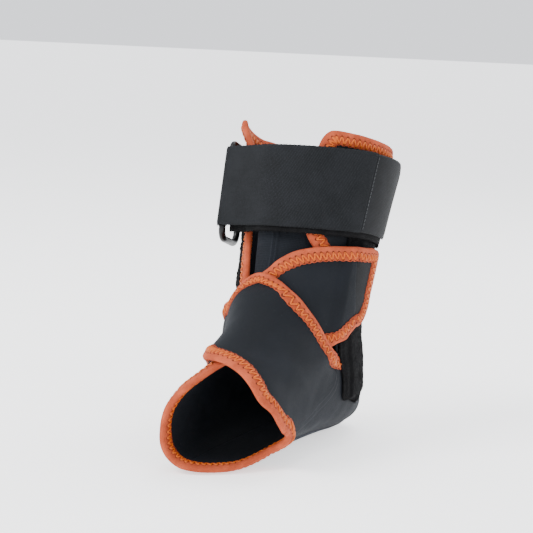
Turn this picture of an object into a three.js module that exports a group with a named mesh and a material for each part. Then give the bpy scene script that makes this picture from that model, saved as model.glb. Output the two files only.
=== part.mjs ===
// Soft ankle foot orthosis for a right foot: a neoprene wrap with two crossing wings,
// a leg strap through a ring, and a stay in a pile-covered pocket on each side.
// Millimetres. +Z up, toes towards -Y, the medial side of the foot towards +X.
// The origin is on the sole, below the ankle.
import * as THREE from "three";

// ---- Driving dimensions ----
const LEG_LEAN = 14; // degrees that the leg leans back from upright
const ANKLE_HEIGHT = 72;
const NEOPRENE = 2.4;
const PILE = 1.2; // loop-pile cover fabric
const TAPE = 0.5; // one wall of the folded binding tape
const CLEARANCE = 0.3; // gap between pieces that touch
const TAPE_GAP = 0.45; // between a panel's face and the tape folded over it
const BINDING_WIDTH = 8;
const FOLD_GAP = 0.5; // between a panel's edge and the fold of its binding
const BINDING_REACH = BINDING_WIDTH - FOLD_GAP - TAPE; // of the tape in from the edge
const STAY_WIDTH = 18;
const STAY_THICKNESS = 1.6;
const COVER_WIDTH = 38;
const CREASE = 12; // step of the lower wing's outline where it creases
const CREASE_GAP = 1.3;
const WEBBING = 1.4;
const RING_BAR = 4.4; // diameter
const STRAP_TOP = 108; // heights along the leg, from the ankle
const STRAP_BOTTOM = 57.5;
const STRAP_CLIMB = 4; // how much higher the strap lies on the medial side
const RING_TOP = 110.5;
const RING_BOTTOM = 49.8;

// Layers: distance of a piece's inner face from the wearer's skin.
const TONGUE_IN = 0;
const TONGUE_THICKNESS = 1.6;
const BODY_IN = 3.1;
const BODY_OUT = BODY_IN + NEOPRENE;
const BINDING_RISE = TAPE + TAPE_GAP; // how far a binding stands proud of its panel
const COVER_IN = BODY_OUT + BINDING_RISE + CLEARANCE; // over the bindings of the body
const COVER_CROWN_IN = COVER_IN + STAY_THICKNESS + CLEARANCE;
const OVER_BODY_IN = COVER_IN + BINDING_RISE; // a bound panel lying on a bound panel
const OVER_WING_IN = OVER_BODY_IN + 0.7;
const OVER_COVER_IN = COVER_CROWN_IN + PILE + TAPE_GAP + BINDING_RISE + 0.25;
const RUN_OVER_COVER = COVER_CROWN_IN + PILE + CLEARANCE + WEBBING / 2;
const RUN_OVER_BODY = COVER_IN + WEBBING / 2;
const RUN_STEP = WEBBING + 2 * CLEARANCE; // from one run of strap to the next

const rad = THREE.MathUtils.degToRad;
// Eases from 0 to 1 as x goes from one value to the other, which may be the lower one.
const smooth = (x, from, to) => THREE.MathUtils.smoothstep((x - from) / (to - from), 0, 1);

// ---- The form: sections of the leg and foot that the brace is cut to ----
// In the side plane (y, z) each section runs from a front point to a back point.
const LEG_AXIS = [Math.sin(rad(LEG_LEAN)), Math.cos(rad(LEG_LEAN))];
const LEG_FRONT = [-LEG_AXIS[1], LEG_AXIS[0]];

const legPoint = (height, forward) => [
  LEG_AXIS[0] * height + LEG_FRONT[0] * forward,
  ANKLE_HEIGHT + LEG_AXIS[1] * height + LEG_FRONT[1] * forward,
];

const legSection = (height, front, back, halfWidth, shift) => [
  ...legPoint(height, front),
  ...legPoint(height, -back),
  halfWidth,
  0.5,
  2,
  shift,
  0,
];

// front y, z, back y, z, half width, where it is widest, squareness of the back, shift in x, arch
const SECTIONS = [
  legSection(122, 42, 41, 40, 2),
  legSection(85, 41, 40, 36.5, 1),
  legSection(50, 40, 38, 32.5, 1),
  legSection(20, 42, 38, 31, 0.5),
  [-46, 91, 52, 50, 30.5, 0.52, 2, 0, 0],
  [-54, 83, 58, 13, 31, 0.55, 3, 0, 1],
  [-63, 76, 35, 4.5, 30.5, 0.6, 3.3, -0.5, 4],
  [-76, 68, -18, 4.5, 29, 0.62, 3, -2.5, 8],
  [-90, 61, -62, 6, 28, 0.62, 3, -4, 8],
  [-105, 54, -104, 6.6, 29, 0.62, 3, -5, 6],
  [-120, 48, -120, 6.6, 30, 0.62, 3, -6, 4],
];

// The section at station t, by a Catmull-Rom blend of its neighbours.
function sectionAt(t) {
  const last = SECTIONS.length - 1;
  const i = Math.min(Math.max(Math.floor(t), 0), last - 1);
  const f = t - i;
  const b = SECTIONS[i];
  const c = SECTIONS[i + 1];
  const a = SECTIONS[i - 1] ?? b.map((v, k) => 2 * v - c[k]);
  const d = SECTIONS[i + 2] ?? c.map((v, k) => 2 * v - b[k]);
  return b.map(
    (v, k) =>
      v +
      0.5 * f * (c[k] - a[k]) +
      0.5 * f * f * (2 * a[k] - 5 * v + 4 * c[k] - d[k]) +
      0.5 * f ** 3 * (3 * v - 3 * c[k] + d[k] - a[k]),
  );
}

// A point of the form: turn is 0 at the front, 90 on the medial side and 180 at the back or sole.
function formPoint(t, turn) {
  const [fy, fz, by, bz, halfWidth, widest, square, shift, arch] = sectionAt(t);
  const c = Math.cos(rad(turn));
  const s = Math.sin(rad(turn));
  const power = c >= 0 ? 2 : square;
  const reach = (Math.abs(s) ** power + Math.abs(c) ** power) ** (-1 / power);
  const midY = fy + (by - fy) * widest;
  const midZ = fz + (bz - fz) * widest;
  const endY = c >= 0 ? fy : by;
  const endZ = c >= 0 ? fz : bz;
  const lift = arch * 4 * Math.max(s, 0) ** 2 * Math.max(-c, 0) ** 2;
  return new THREE.Vector3(
    halfWidth * s * reach + shift,
    midY + (endY - midY) * Math.abs(c) * reach,
    midZ + (endZ - midZ) * Math.abs(c) * reach + lift,
  );
}

// Partial derivatives and outward normal of the form.
function formFrame(t, turn) {
  const dt = 0.002;
  const dTurn = 0.05;
  const alongT = formPoint(t + dt, turn)
    .sub(formPoint(t - dt, turn))
    .divideScalar(2 * dt);
  const alongTurn = formPoint(t, turn + dTurn)
    .sub(formPoint(t, turn - dTurn))
    .divideScalar(2 * dTurn);
  const normal = alongT.clone().cross(alongTurn).normalize();
  return { alongT, alongTurn, normal };
}

// A point at a distance out from the form. The heel stands flat on z = 0.
function layerPoint(t, turn, out) {
  const p = formPoint(t, turn).addScaledVector(formFrame(t, turn).normal, out);
  p.z = Math.max(p.z, BODY_OUT - Math.min(out, BODY_OUT));
  return p;
}

// ---- Curves on the form, each a list of [t, turn] ----
function edge(keys, steps) {
  const curve = new THREE.CatmullRomCurve3(
    keys.map(([t, turn]) => new THREE.Vector3(t, turn / 50, 0)),
    false,
    "centripetal",
  );
  const fine = curve.getPoints(12 * keys.length).map((p) => [p.x, p.y * 50]);
  const length = [0];
  for (let i = 1; i < fine.length; i++) {
    const gap = formPoint(...fine[i]).distanceTo(formPoint(...fine[i - 1]));
    length.push(length[i - 1] + gap);
  }
  const points = [];
  let k = 0;
  for (let i = 0; i <= steps; i++) {
    const want = (length.at(-1) * i) / steps;
    while (k < fine.length - 2 && length[k + 1] < want) k++;
    const f = (want - length[k]) / (length[k + 1] - length[k]);
    points.push(fine[k].map((v, j) => v + (fine[k + 1][j] - v) * f));
  }
  return points;
}

// Moves a point of a curve sideways over the form, to the left of the curve's direction seen from outside.
function aside(curve, i, mm) {
  const [t, turn] = curve[i];
  const before = formPoint(...curve[Math.max(i - 1, 0)]);
  const after = formPoint(...curve[Math.min(i + 1, curve.length - 1)]);
  const { alongT, alongTurn, normal } = formFrame(t, turn);
  const side = normal.clone().cross(after.sub(before)).normalize();
  const a = alongT.dot(alongT);
  const b = alongT.dot(alongTurn);
  const c = alongTurn.dot(alongTurn);
  const p = side.dot(alongT);
  const q = side.dot(alongTurn);
  const det = a * c - b * b;
  return [t + ((c * p - b * q) / det) * mm, turn + ((a * q - b * p) / det) * mm];
}

const mix = (a, b, f) => a.map((v, k) => v + (b[k] - v) * f);
const shifted = (curve, mm) => curve.map((_, i) => aside(curve, i, mm));

// The point mm in from an edge, measured square to it, on the line to inward[i] but not past its middle.
function inFrom(curve, inward, i, mm) {
  const small = 0.05;
  const here = formPoint(...curve[i]);
  const along = formPoint(...curve[Math.min(i + 1, curve.length - 1)]);
  along.sub(formPoint(...curve[Math.max(i - 1, 0)])).normalize();
  const step = formPoint(...mix(curve[i], inward[i], small)).sub(here);
  return mix(curve[i], inward[i], Math.min((small * mm) / step.cross(along).length(), 0.46));
}

// ---- Solids ----
// Joins rings of points into one closed solid. A ring runs along one face of a sheet and back along the
// other, so its first and last points are a pair, and the ends are closed by strips between the pairs.
function loft(rings, closed = false) {
  const size = rings[0].length;
  const flat = rings.flat();
  const positions = flat.flatMap((p) => [p.x, p.y, p.z]);
  const index = [];
  // Quads are split along their shorter diagonal, so that faces lying close together split alike.
  const quad = (a, b, c, d) => {
    const short = flat[a].distanceTo(flat[c]) < flat[b].distanceTo(flat[d]);
    index.push(...(short ? [a, b, c, a, c, d] : [a, b, d, b, c, d]));
  };
  const spans = closed ? rings.length : rings.length - 1;
  for (let i = 0; i < spans; i++) {
    const next = (i + 1) % rings.length;
    for (let j = 0; j < size; j++) {
      const k = (j + 1) % size;
      quad(i * size + j, i * size + k, next * size + k, next * size + j);
    }
  }
  if (!closed) {
    const end = (rings.length - 1) * size;
    for (let j = 0; j < size / 2 - 1; j++) {
      const pair = size - 1 - j;
      quad(pair, pair - 1, j + 1, j);
      quad(end + j, end + j + 1, end + pair - 1, end + pair);
    }
  }
  return outward(positions, index);
}

// A geometry whose faces point out, whichever way round it was built.
function outward(positions, index) {
  const at = (i) => new THREE.Vector3().fromArray(positions, 3 * i);
  let volume = 0;
  for (let i = 0; i < index.length; i += 3) {
    volume += at(index[i]).dot(at(index[i + 1]).cross(at(index[i + 2])));
  }
  if (volume < 0) {
    for (let i = 0; i < index.length; i += 3) {
      [index[i + 1], index[i + 2]] = [index[i + 2], index[i + 1]];
    }
  }
  const geometry = new THREE.BufferGeometry();
  geometry.setAttribute("position", new THREE.Float32BufferAttribute(positions, 3));
  geometry.setIndex(index);
  geometry.computeVertexNormals();
  return geometry;
}

// Points from a to b, with one more below the inner edge of a binding where an edge is bound.
function columns(a, b, rimA, rimB, across) {
  const from = rimA ?? a;
  const to = rimB ?? b;
  const middle = Array.from({ length: across + 1 }, (_, j) => mix(from, to, j / across));
  return [...(rimA ? [a] : []), ...middle, ...(rimB ? [b] : [])];
}

// Rows of points of a sheet between two curves of equal length.
const sheetRows = (curveA, curveB, across, boundA, boundB) =>
  curveA.map((a, i) => {
    const rimA = boundA ? inFrom(curveA, curveB, i, BINDING_REACH) : undefined;
    const rimB = boundB ? inFrom(curveB, curveA, i, BINDING_REACH) : undefined;
    return columns(a, curveB[i], rimA, rimB, across);
  });

// A sheet over rows of points, with its inner face at inner(t, turn).
function sheet(rows, inner, thickness = NEOPRENE) {
  const rings = rows.map((points) => {
    const inside = points.map(([t, turn]) => layerPoint(t, turn, inner(t, turn)));
    const outside = points.map(([t, turn]) => layerPoint(t, turn, inner(t, turn) + thickness));
    return [...inside, ...outside.reverse()];
  });
  return loft(rings);
}

// A band swept along a curve: section(i) lists corners as [sideways mm, distance out].
function band(curve, section) {
  const rings = curve.map((_, i) =>
    section(i).map(([mm, out]) => layerPoint(...aside(curve, i, mm), out)),
  );
  return loft(rings);
}

// Section of a flat strip, with points along its middle so that it follows the form.
function flatStrip(half, out, thickness) {
  const low = [-half, -half / 2, 0, half / 2, half].map((mm) => [mm, out]);
  const high = low.map(([mm]) => [mm, out + thickness]).reverse();
  return [...low, ...high];
}

// Binding tape folded over a panel's edge: reach holds the points at the inner edge of the tape.
function binding(outline, reach, inner) {
  const fold = -FOLD_GAP;
  const corners = [
    [BINDING_REACH, -BINDING_RISE],
    [fold - TAPE, -BINDING_RISE],
    [fold - TAPE, NEOPRENE + BINDING_RISE],
    [BINDING_REACH, NEOPRENE + BINDING_RISE],
    [BINDING_REACH, NEOPRENE + TAPE_GAP],
    [fold, NEOPRENE + TAPE_GAP],
    [fold, -TAPE_GAP],
    [BINDING_REACH, -TAPE_GAP],
  ];
  const rings = outline.map((point, i) => {
    const atEdge = inner(...point);
    const climb = inner(...reach[i]) - atEdge;
    return corners.map(([mm, rise]) => {
      const f = mm / BINDING_REACH;
      return layerPoint(...mix(point, reach[i], f), atEdge + climb * f + rise);
    });
  });
  return loft(rings);
}

// ---- Layer of each panel ----
const bodyInner = () => BODY_IN;

// The lateral cuff's free corner leans out above the strap.
const lateralCuffInner = (t, turn) => BODY_IN + 6 * smooth(turn, -115, -75) * smooth(t, 0.45, -0.1);

// Where the medial cuff's free edge lies at station t: the upper wing climbs over it.
const cuffEdgeTurn = (t) => 19 + 51 * smooth(t, 1.6, 4.9);

function upperWingInner(t, turn) {
  const past = turn - cuffEdgeTurn(t);
  const overCuff = (OVER_BODY_IN - BODY_IN) * smooth(past, -14, -4);
  const overStay = (OVER_COVER_IN - OVER_BODY_IN) * smooth(turn, 50, 61) * smooth(t, 4.7, 4.35);
  return BODY_IN + overCuff + overStay;
}

// The lower wing climbs onto the upper one along a line that slants across the instep.
function lowerWingInner(t, turn) {
  const up = 61 - 12 * Math.max(t - 5, 0);
  const overWing = (OVER_WING_IN - BODY_IN) * smooth(turn, up + 7 + 5 * smooth(t, 5, 6), up);
  const overStay = (OVER_COVER_IN - OVER_WING_IN) * smooth(turn, -52, -66);
  return BODY_IN + overWing + overStay;
}

// ---- Materials ----
const material = (color, roughness, metalness = 0) =>
  new THREE.MeshStandardMaterial({ color, roughness, metalness });
const neoprene = material(0x2c333d, 0.7);
const liningKnit = material(0x23282f, 0.85);
const bindingTape = material(0xb9694d, 0.8);
const pile = material(0x141414, 0.95);
const webbing = material(0x2a2d2f, 0.85);
const hookTape = material(0x24272a, 0.6);
const ringPlastic = material(0x101112, 0.25);
const stayPlastic = material(0xd9dad6, 0.4);

const brace = new THREE.Group();
brace.name = "ankle_foot_orthosis";

function add(name, geometry, look) {
  const mesh = new THREE.Mesh(geometry, look);
  mesh.name = name;
  brace.add(mesh);
}

// ---- Outlines ----
const SEAM = 0.35; // half the gap at a butt seam
const BACK = 179.5; // turn of the back seam, just short of the middle
const CUFF_SEAM_MEDIAL = 4.75;
const CUFF_SEAM_LATERAL = 3.1;
const TOP = 0.05;

const medialFront = edge(
  [[TOP, 25], [0.09, 22.5], [0.2, 20.5], [0.4, 19], [1.2, 18], [1.7, 18.5], [1.92, 24], [2.12, 32],
    [2.7, 45], [3.4, 56], [4.1, 64], [CUFF_SEAM_MEDIAL - 0.03, 70]],
  18,
);
const medialBack = edge(
  [[TOP, BACK], [1, BACK], [2, BACK], [3, BACK], [CUFF_SEAM_MEDIAL - 0.03, BACK]],
  18,
);
const lateralFront = edge(
  [[TOP, -64], [0.1, -61], [0.25, -59.5], [0.45, -59], [1, -59], [1.9, -57], [2.6, -46],
    [CUFF_SEAM_LATERAL - 0.02, -42]],
  15,
);
const lateralBack = edge([[TOP, -BACK], [1, -BACK], [2, -BACK], [CUFF_SEAM_LATERAL - 0.02, -BACK]], 15);

// The sole's outline, from the heel forwards: medial as turns under 180, lateral as turns over 180.
const SOLE_FRONT_MEDIAL = 8.35;
const SOLE_FRONT_LATERAL = 9.5;
const soleMedial = edge([[5.3, 165], [5.5, 153], [6, 146], [7, 144], [SOLE_FRONT_MEDIAL, 145]], 12);
const soleLateral = edge([[5.3, 195], [5.5, 207], [6, 214], [7, 216], [SOLE_FRONT_LATERAL, 215]], 12);

// Lines where the wings leave the heel quarters.
const lowerWingRoot = edge(
  [[4.98, 68.5], [5.6, 73.5], [6.6, 83], [7.5, 91], [SOLE_FRONT_MEDIAL, 98.5]],
  12,
);
const upperWingRoot = edge(
  [[CUFF_SEAM_LATERAL + 0.02, -43], [5, -46], [7, -48], [SOLE_FRONT_LATERAL, -46]],
  17,
);

const wingTop = edge(
  [[CUFF_SEAM_LATERAL, -40], [2.85, -26], [2.63, -12], [2.4, 1], [2.2, 17], [2.05, 40], [1.94, 62]],
  26,
);
const wingBottom = edge(
  [[SOLE_FRONT_LATERAL, -45], [SOLE_FRONT_LATERAL, -35], [9.1, -29], [8.55, -20], [8.1, -10], [7.5, 4],
    [6.7, 22], [5.8, 40], [5.05, 53], [4.55, 62], [4.1, 70], [3.75, 77]],
  26,
);
const upperTabTop = edge([[1.93, 64.5], [1.91, 74], [1.86, 86], [1.85, 97]], 4);
const upperTabBottom = edge([[3.72, 79], [3.5, 86], [3.25, 92], [3, 97]], 4);

const lowerTop = edge(
  [[4.98, 66.5], [5.12, 60], [5, 53], [4.3, 39], [3.7, 24], [2.95, 6], [2.75, -12], [2.85, -24], [3.1, -34],
    [3.4, -44], [3.6, -58], [3.7, -74]],
  28,
);
const lowerBottom = edge(
  [[SOLE_FRONT_MEDIAL, 96.5], [8.6, 82], [8.85, 62], [9.08, 46], [8.98, 28], [8.6, 4], [8.25, -15],
    [7.95, -28], [7.4, -40], [6.8, -56], [6.3, -74]],
  28,
);
const lowerTabTop = edge([[3.71, -77.5], [3.77, -88], [3.9, -100], [4.1, -111]], 4);
const lowerTabBottom = edge([[6.25, -77.5], [5.95, -88], [5.6, -100], [5.25, -112]], 4);

// ---- Tongue and body ----
const tongueLateral = edge([[0.7, -40], [2, -40], [3.5, -34], [5.5, -26]], 12);
const tongueMedial = edge([[0.7, 38], [2, 38], [3.5, 34], [5.5, 26]], 12);
add(
  "tongue",
  sheet(sheetRows(tongueLateral, tongueMedial, 8), () => TONGUE_IN, TONGUE_THICKNESS),
  liningKnit,
);

const medialCuffRows = sheetRows(medialFront, medialBack, 13, true);
// The lateral cuff's free corner flares up.
const flare = ([t, turn]) => [t - 0.2 * smooth(turn, -104, -68) * smooth(t, 1, TOP), turn];
const lateralCuffRows = sheetRows(lateralFront, lateralBack, 16, true).map((row) => row.map(flare));
add("medial_cuff", sheet(medialCuffRows, bodyInner), neoprene);
add("lateral_cuff", sheet(lateralCuffRows, lateralCuffInner), neoprene);

const medialQuarterBack = [
  ...edge([[CUFF_SEAM_MEDIAL + 0.03, BACK], [5, BACK], [5.15, 175]], 3),
  ...shifted(soleMedial, -3 * SEAM),
];
const medialQuarterFront = [
  ...edge([[CUFF_SEAM_MEDIAL + 0.03, 71], [4.95, 69]], 3),
  ...lowerWingRoot,
];
const lateralQuarterBack = [
  ...edge([[CUFF_SEAM_LATERAL + 0.02, -BACK], [4, -BACK], [5, -BACK], [5.15, -175]], 4),
  ...shifted(soleLateral, 3 * SEAM).map(([t, turn]) => [t, turn - 360]),
];
const medialQuarterRows = sheetRows(medialQuarterFront, medialQuarterBack, 12);
const lateralQuarterRows = sheetRows(shifted(upperWingRoot, -SEAM), lateralQuarterBack, 14);
add("medial_heel_quarter", sheet(medialQuarterRows, bodyInner), neoprene);
add("lateral_heel_quarter", sheet(lateralQuarterRows, bodyInner), neoprene);
const soleRows = sheetRows(soleMedial, soleLateral, 8);
add("sole_panel", sheet(soleRows, bodyInner), neoprene);

// A strip of tape over the back seam, from the top binding to the heel.
const backSeam = edge([[0.35, 180], [1.5, 180], [3, 180], [4.4, 180], [4.9, 180]], 16);
const SEAM_TAPE_WIDTH = 10;
add(
  "back_seam_tape",
  band(backSeam, () => flatStrip(SEAM_TAPE_WIDTH / 2, BODY_OUT + TAPE_GAP, TAPE)),
  bindingTape,
);

// ---- Bindings of the body ----
const first = (rows) => rows.map((row) => row[0]);
const second = (rows) => rows.map((row) => row[1]);

// Binds the row of a panel that is an opening's edge, given the next row in.
function rowBinding(name, outline, before, inner = bodyInner) {
  const reach = outline.map((point, i) => {
    const gap = formPoint(...point).distanceTo(formPoint(...before[i]));
    return mix(point, before[i], BINDING_REACH / gap);
  });
  add(name, binding(outline, reach, inner), bindingTape);
}

// One tape runs down a cuff's free front edge, and one along its top edge from there to the back seam.
function cuffBindings(side, rows, inner) {
  add(`${side}_cuff_front_binding`, binding(first(rows), second(rows), inner), bindingTape);
  const clear = (row) => [mix(row[1], row[2], 0.08), ...row.slice(2)];
  rowBinding(`${side}_cuff_top_binding`, clear(rows[0]), clear(rows[1]), inner);
}
cuffBindings("medial", medialCuffRows, bodyInner);
cuffBindings("lateral", lateralCuffRows.slice(0, -1), lateralCuffInner);

function frontBinding(name, rows, from) {
  rowBinding(name, rows.at(-1).slice(from, -1), rows.at(-2).slice(from, -1));
}
frontBinding("medial_foot_binding", medialQuarterRows, 2);
frontBinding("lateral_foot_binding", lateralQuarterRows, 1);
frontBinding("sole_front_binding", soleRows, 1);

// ---- Stays in their pockets ----
const medialStayLine = edge([[0.5, 88], [1.5, 88], [3, 89], [4.4, 92], [5.3, 95], [5.72, 97]], 24);
const lateralStayLine = edge([[0.5, -92], [1.5, -92], [3, -94], [4.4, -98], [5.3, -103], [5.72, -105]], 24);

// Half width of a strip whose ends are rounded.
function roundedHalf(curve, i, half) {
  const end = Math.min(i, curve.length - 1 - i) / (curve.length - 1);
  const round = Math.min(end / 0.06, 1);
  return half * (0.45 + 0.55 * Math.sqrt(1 - (1 - round) ** 2));
}

function addStay(side, line) {
  const inPocket = line.slice(2, -2);
  const stay = (i) => flatStrip(roundedHalf(inPocket, i, STAY_WIDTH / 2), COVER_IN, STAY_THICKNESS);
  add(`${side}_stay`, band(inPocket, stay), stayPlastic);
  const cover = (i) => {
    const half = roundedHalf(line, i, COVER_WIDTH / 2);
    const crown = Math.min(STAY_WIDTH / 2 + 1, half - 2);
    const margin = Math.min(crown + 3, half - 1);
    const mid = (half + margin) / 2;
    const reach = [-half, -mid, -margin, -crown, -crown / 2, 0, crown / 2, crown, margin, mid, half];
    const inside = reach.map((mm) => [mm, Math.abs(mm) > crown ? COVER_IN : COVER_CROWN_IN]);
    const outside = inside.map(([mm, out]) => [mm, out + PILE]).reverse();
    return [...inside, ...outside];
  };
  add(`${side}_stay_cover`, band(line, cover), pile);
}
addStay("medial", medialStayLine);
addStay("lateral", lateralStayLine);

// ---- Wings ----
const backwards = (rows) => rows.map((row) => row.toReversed());

// A bound panel with a binding along each long edge.
function addWing(name, top, bottom, inner, across) {
  const rows = sheetRows(top, bottom, across, true, true);
  const other = backwards(rows).toReversed();
  add(name, sheet(rows, inner), neoprene);
  add(`${name}_top_binding`, binding(first(rows), second(rows), inner), bindingTape);
  add(`${name}_bottom_binding`, binding(first(other), second(other), inner), bindingTape);
}

// A stiff hook tab at the end of a wing, with one binding around its free end.
function addTab(name, top, bottom, inner, across) {
  const rows = sheetRows(top, bottom, across, true, true);
  const [, before, end] = rows.slice(-3);
  const corner = (all) => all.at(-2).map((p, j) => (j === 1 ? mix(all.at(-3)[1], p, 0.5) : p));
  const sides = (all) => [...all.slice(0, -2), corner(all)];
  const oneSide = sides(rows);
  const otherSide = sides(backwards(rows)).toReversed();
  const outline = [...first(oneSide), end[0], ...end.slice(2, -2), end.at(-1), ...first(otherSide)];
  const reach = [...second(oneSide), ...before.slice(1, -1), ...second(otherSide)];
  add(`${name}_hook_tab`, sheet(rows, inner), hookTape);
  add(`${name}_tab_binding`, binding(outline, reach, inner), bindingTape);
}

// The rest of a curve from a step on, starting a small gap past it.
function beyond(curve, step) {
  const length = formPoint(...curve[step]).distanceTo(formPoint(...curve[step + 1]));
  return [mix(curve[step], curve[step + 1], CREASE_GAP / length), ...curve.slice(step + 1)];
}

// The upper wing runs from the lateral heel quarter over the instep to the medial side.
addWing("upper_wing", wingTop, wingBottom, upperWingInner, 12);
addTab("upper_wing", upperTabTop, upperTabBottom, upperWingInner, 12);

// The lower wing runs the other way over it. Its free half folds back along a crease over the instep.
const toCrease = (curve) => curve.slice(0, CREASE + 1);
addWing("lower_wing", toCrease(lowerTop), toCrease(lowerBottom), lowerWingInner, 9);
addWing("lower_wing_flap", beyond(lowerTop, CREASE), beyond(lowerBottom, CREASE), lowerWingInner, 9);
addTab("lower_wing", lowerTabTop, lowerTabBottom, lowerWingInner, 9);

// ---- Leg strap, ring and keeper, drawn in planes across the leg ----
// Points are x, back, which is measured backwards from the leg's axis, and height along the leg.
const OUTER_BAR = new THREE.Vector2(-48, -27);
const INNER_BAR = new THREE.Vector2(-51, 6);
const WRAP = RING_BAR / 2 + CLEARANCE + WEBBING / 2; // centre line of webbing around a bar

const inSpace = ([x, back, height]) => {
  const [y, z] = legPoint(height, -back);
  return new THREE.Vector3(x, y, z);
};

// Station of a height along the leg, found by halving.
function stationAt(height) {
  let low = -0.5;
  let high = 3;
  for (let i = 0; i < 30; i++) {
    const mid = (low + high) / 2;
    const front = sectionAt(mid);
    const along = front[0] * LEG_AXIS[0] + (front[1] - ANKLE_HEIGHT) * LEG_AXIS[1];
    if (along > height) low = mid;
    else high = mid;
  }
  return low;
}

// The leg's cross-section at a height, as an ellipse, grown by a distance out.
function legEllipse(height) {
  const [fy, fz, by, bz, halfWidth, , , shift] = sectionAt(stationAt(height));
  const forward = (y, z) => y * LEG_FRONT[0] + (z - ANKLE_HEIGHT) * LEG_FRONT[1];
  const front = forward(fy, fz);
  const back = forward(by, bz);
  const centre = -(front + back) / 2;
  const depth = (front - back) / 2;
  return (turn, out) => [
    shift + (halfWidth + out) * Math.sin(rad(turn)),
    centre - (depth + out) * Math.cos(rad(turn)),
  ];
}

const arc = (centre, radius, from, to, steps) =>
  Array.from({ length: steps + 1 }, (_, i) => {
    const a = rad(from + ((to - from) * i) / steps);
    return [centre.x + radius * Math.cos(a), centre.y + radius * Math.sin(a)];
  });

// Points round the leg. A strap lies on the leg at the height that it has climbed to.
const around = (height, from, to, steps, out) =>
  Array.from({ length: steps + 1 }, (_, i) => {
    const turn = from + ((to - from) * i) / steps;
    const climbed = height + STRAP_CLIMB * smooth(turn, -10, 95);
    return [...legEllipse(climbed)(turn, out(turn)), climbed];
  });

const arcAt = (height, ...bend) => arc(...bend).map((point) => [...point, height]);

// Webbing of even thickness along path(height), from one height to another.
function webbingAlong(path, top, bottom, thickness = WEBBING) {
  const heights = [top, (top + bottom) / 2, bottom];
  const lines = heights.map((height) => {
    const points = path(height);
    return points.map(([x, back, high], i) => {
      const before = points[Math.max(i - 1, 0)];
      const after = points[Math.min(i + 1, points.length - 1)];
      const half = new THREE.Vector2(before[1] - after[1], after[0] - before[0]).setLength(thickness / 2);
      return [1, -1].map((side) => inSpace([x + side * half.x, back + side * half.y, high]));
    });
  });
  const rings = lines[0].map((_, i) => [
    ...lines.map((line) => line[i][0]),
    ...lines.map((line) => line[i][1]).reverse(),
  ]);
  return loft(rings);
}

const overCover = (turn) => smooth(turn, 38, 52) * smooth(turn, 132, 118);
const innerRunOut = (turn) => RUN_OVER_BODY + (RUN_OVER_COVER - RUN_OVER_BODY) * overCover(turn);
const outerRise = (turn) => (RUN_OVER_COVER - RUN_OVER_BODY) * smooth(turn, 38, 52);
const outerRunOut = (turn) => RUN_STEP + RUN_OVER_BODY + outerRise(turn);
const TAB_START = 63;
const TAB_END = 108;

const innerRun = (height) => [
  [OUTER_BAR.x + WRAP + 1.5, OUTER_BAR.y + WRAP - 1.2, height],
  ...around(height, -50, 150, 34, innerRunOut),
];
const outerRun = (height) => [
  ...arcAt(height, OUTER_BAR, WRAP, 90, 262, 9),
  ...around(height, -24, TAB_START - 1, 16, outerRunOut),
];
const hookTab = (height) => around(height, TAB_START, TAB_END, 9, outerRunOut);
add("strap_inner_run", webbingAlong(innerRun, STRAP_TOP - 2, STRAP_BOTTOM - 1), webbing);
add("strap_outer_run", webbingAlong(outerRun, STRAP_TOP, STRAP_BOTTOM), webbing);
add("strap_hook_tab", webbingAlong(hookTab, STRAP_TOP - 1, STRAP_BOTTOM + 1), hookTape);

// The keeper holds the ring's inner bar and is sewn to the lateral cuff behind the stay cover.
const keeperOut = (turn) => RUN_OVER_BODY + (RUN_OVER_COVER - RUN_OVER_BODY) * smooth(turn, -128, -116);
const keeper = (height) => [
  ...around(height, -152, -104, 8, keeperOut),
  ...arcAt(height, INNER_BAR, WRAP, -20, -210, 9),
  ...around(height, -112, -150, 6, (turn) => keeperOut(turn) + RUN_STEP),
];
add("ring_keeper", webbingAlong(keeper, STRAP_TOP - 1.5, STRAP_BOTTOM + 1.5), webbing);

// Closed loop of round bar: two long bars, a tight top and a rounder bottom.
function ringPath() {
  const across = INNER_BAR.clone().sub(OUTER_BAR);
  const width = across.length();
  const corner = (u, height, radius, from) =>
    arc(new THREE.Vector2(u, height), radius, from, from + 90, 5);
  const flat = [
    ...corner(3, RING_TOP - 3, 3, 90),
    ...corner(7.5, RING_BOTTOM + 7.5, 7.5, 180),
    ...corner(width - 7.5, RING_BOTTOM + 7.5, 7.5, 270),
    ...corner(width - 3, RING_TOP - 3, 3, 0),
  ];
  const direction = across.normalize();
  return flat.map(([u, height]) =>
    inSpace([OUTER_BAR.x + direction.x * u, OUTER_BAR.y + direction.y * u, height]),
  );
}

function closedTube(points, diameter, sides) {
  const centre = points.reduce((sum, p) => sum.add(p), new THREE.Vector3()).divideScalar(points.length);
  const flatNormal = points[0].clone().sub(centre).cross(points[6].clone().sub(centre)).normalize();
  const rings = points.map((p, i) => {
    const before = points[(i + points.length - 1) % points.length];
    const after = points[(i + 1) % points.length];
    const side = after.clone().sub(before).normalize().cross(flatNormal);
    return Array.from({ length: sides }, (_, j) => {
      const a = (2 * Math.PI * j) / sides;
      return p
        .clone()
        .addScaledVector(side, (diameter / 2) * Math.cos(a))
        .addScaledVector(flatNormal, (diameter / 2) * Math.sin(a));
    });
  });
  return loft(rings, true);
}
add("strap_ring", closedTube(ringPath(), RING_BAR, 10), ringPlastic);

export default brace;
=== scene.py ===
"""Looks of a soft ankle foot orthosis: a neoprene wrap with two crossing wings and a leg strap.

The form, its layers and its outlines repeat those of part.mjs, in millimetres, at a finer step.
Meshes are written in metres.
"""

import bpy
import numpy as np
from mathutils import Matrix, Vector


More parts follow.
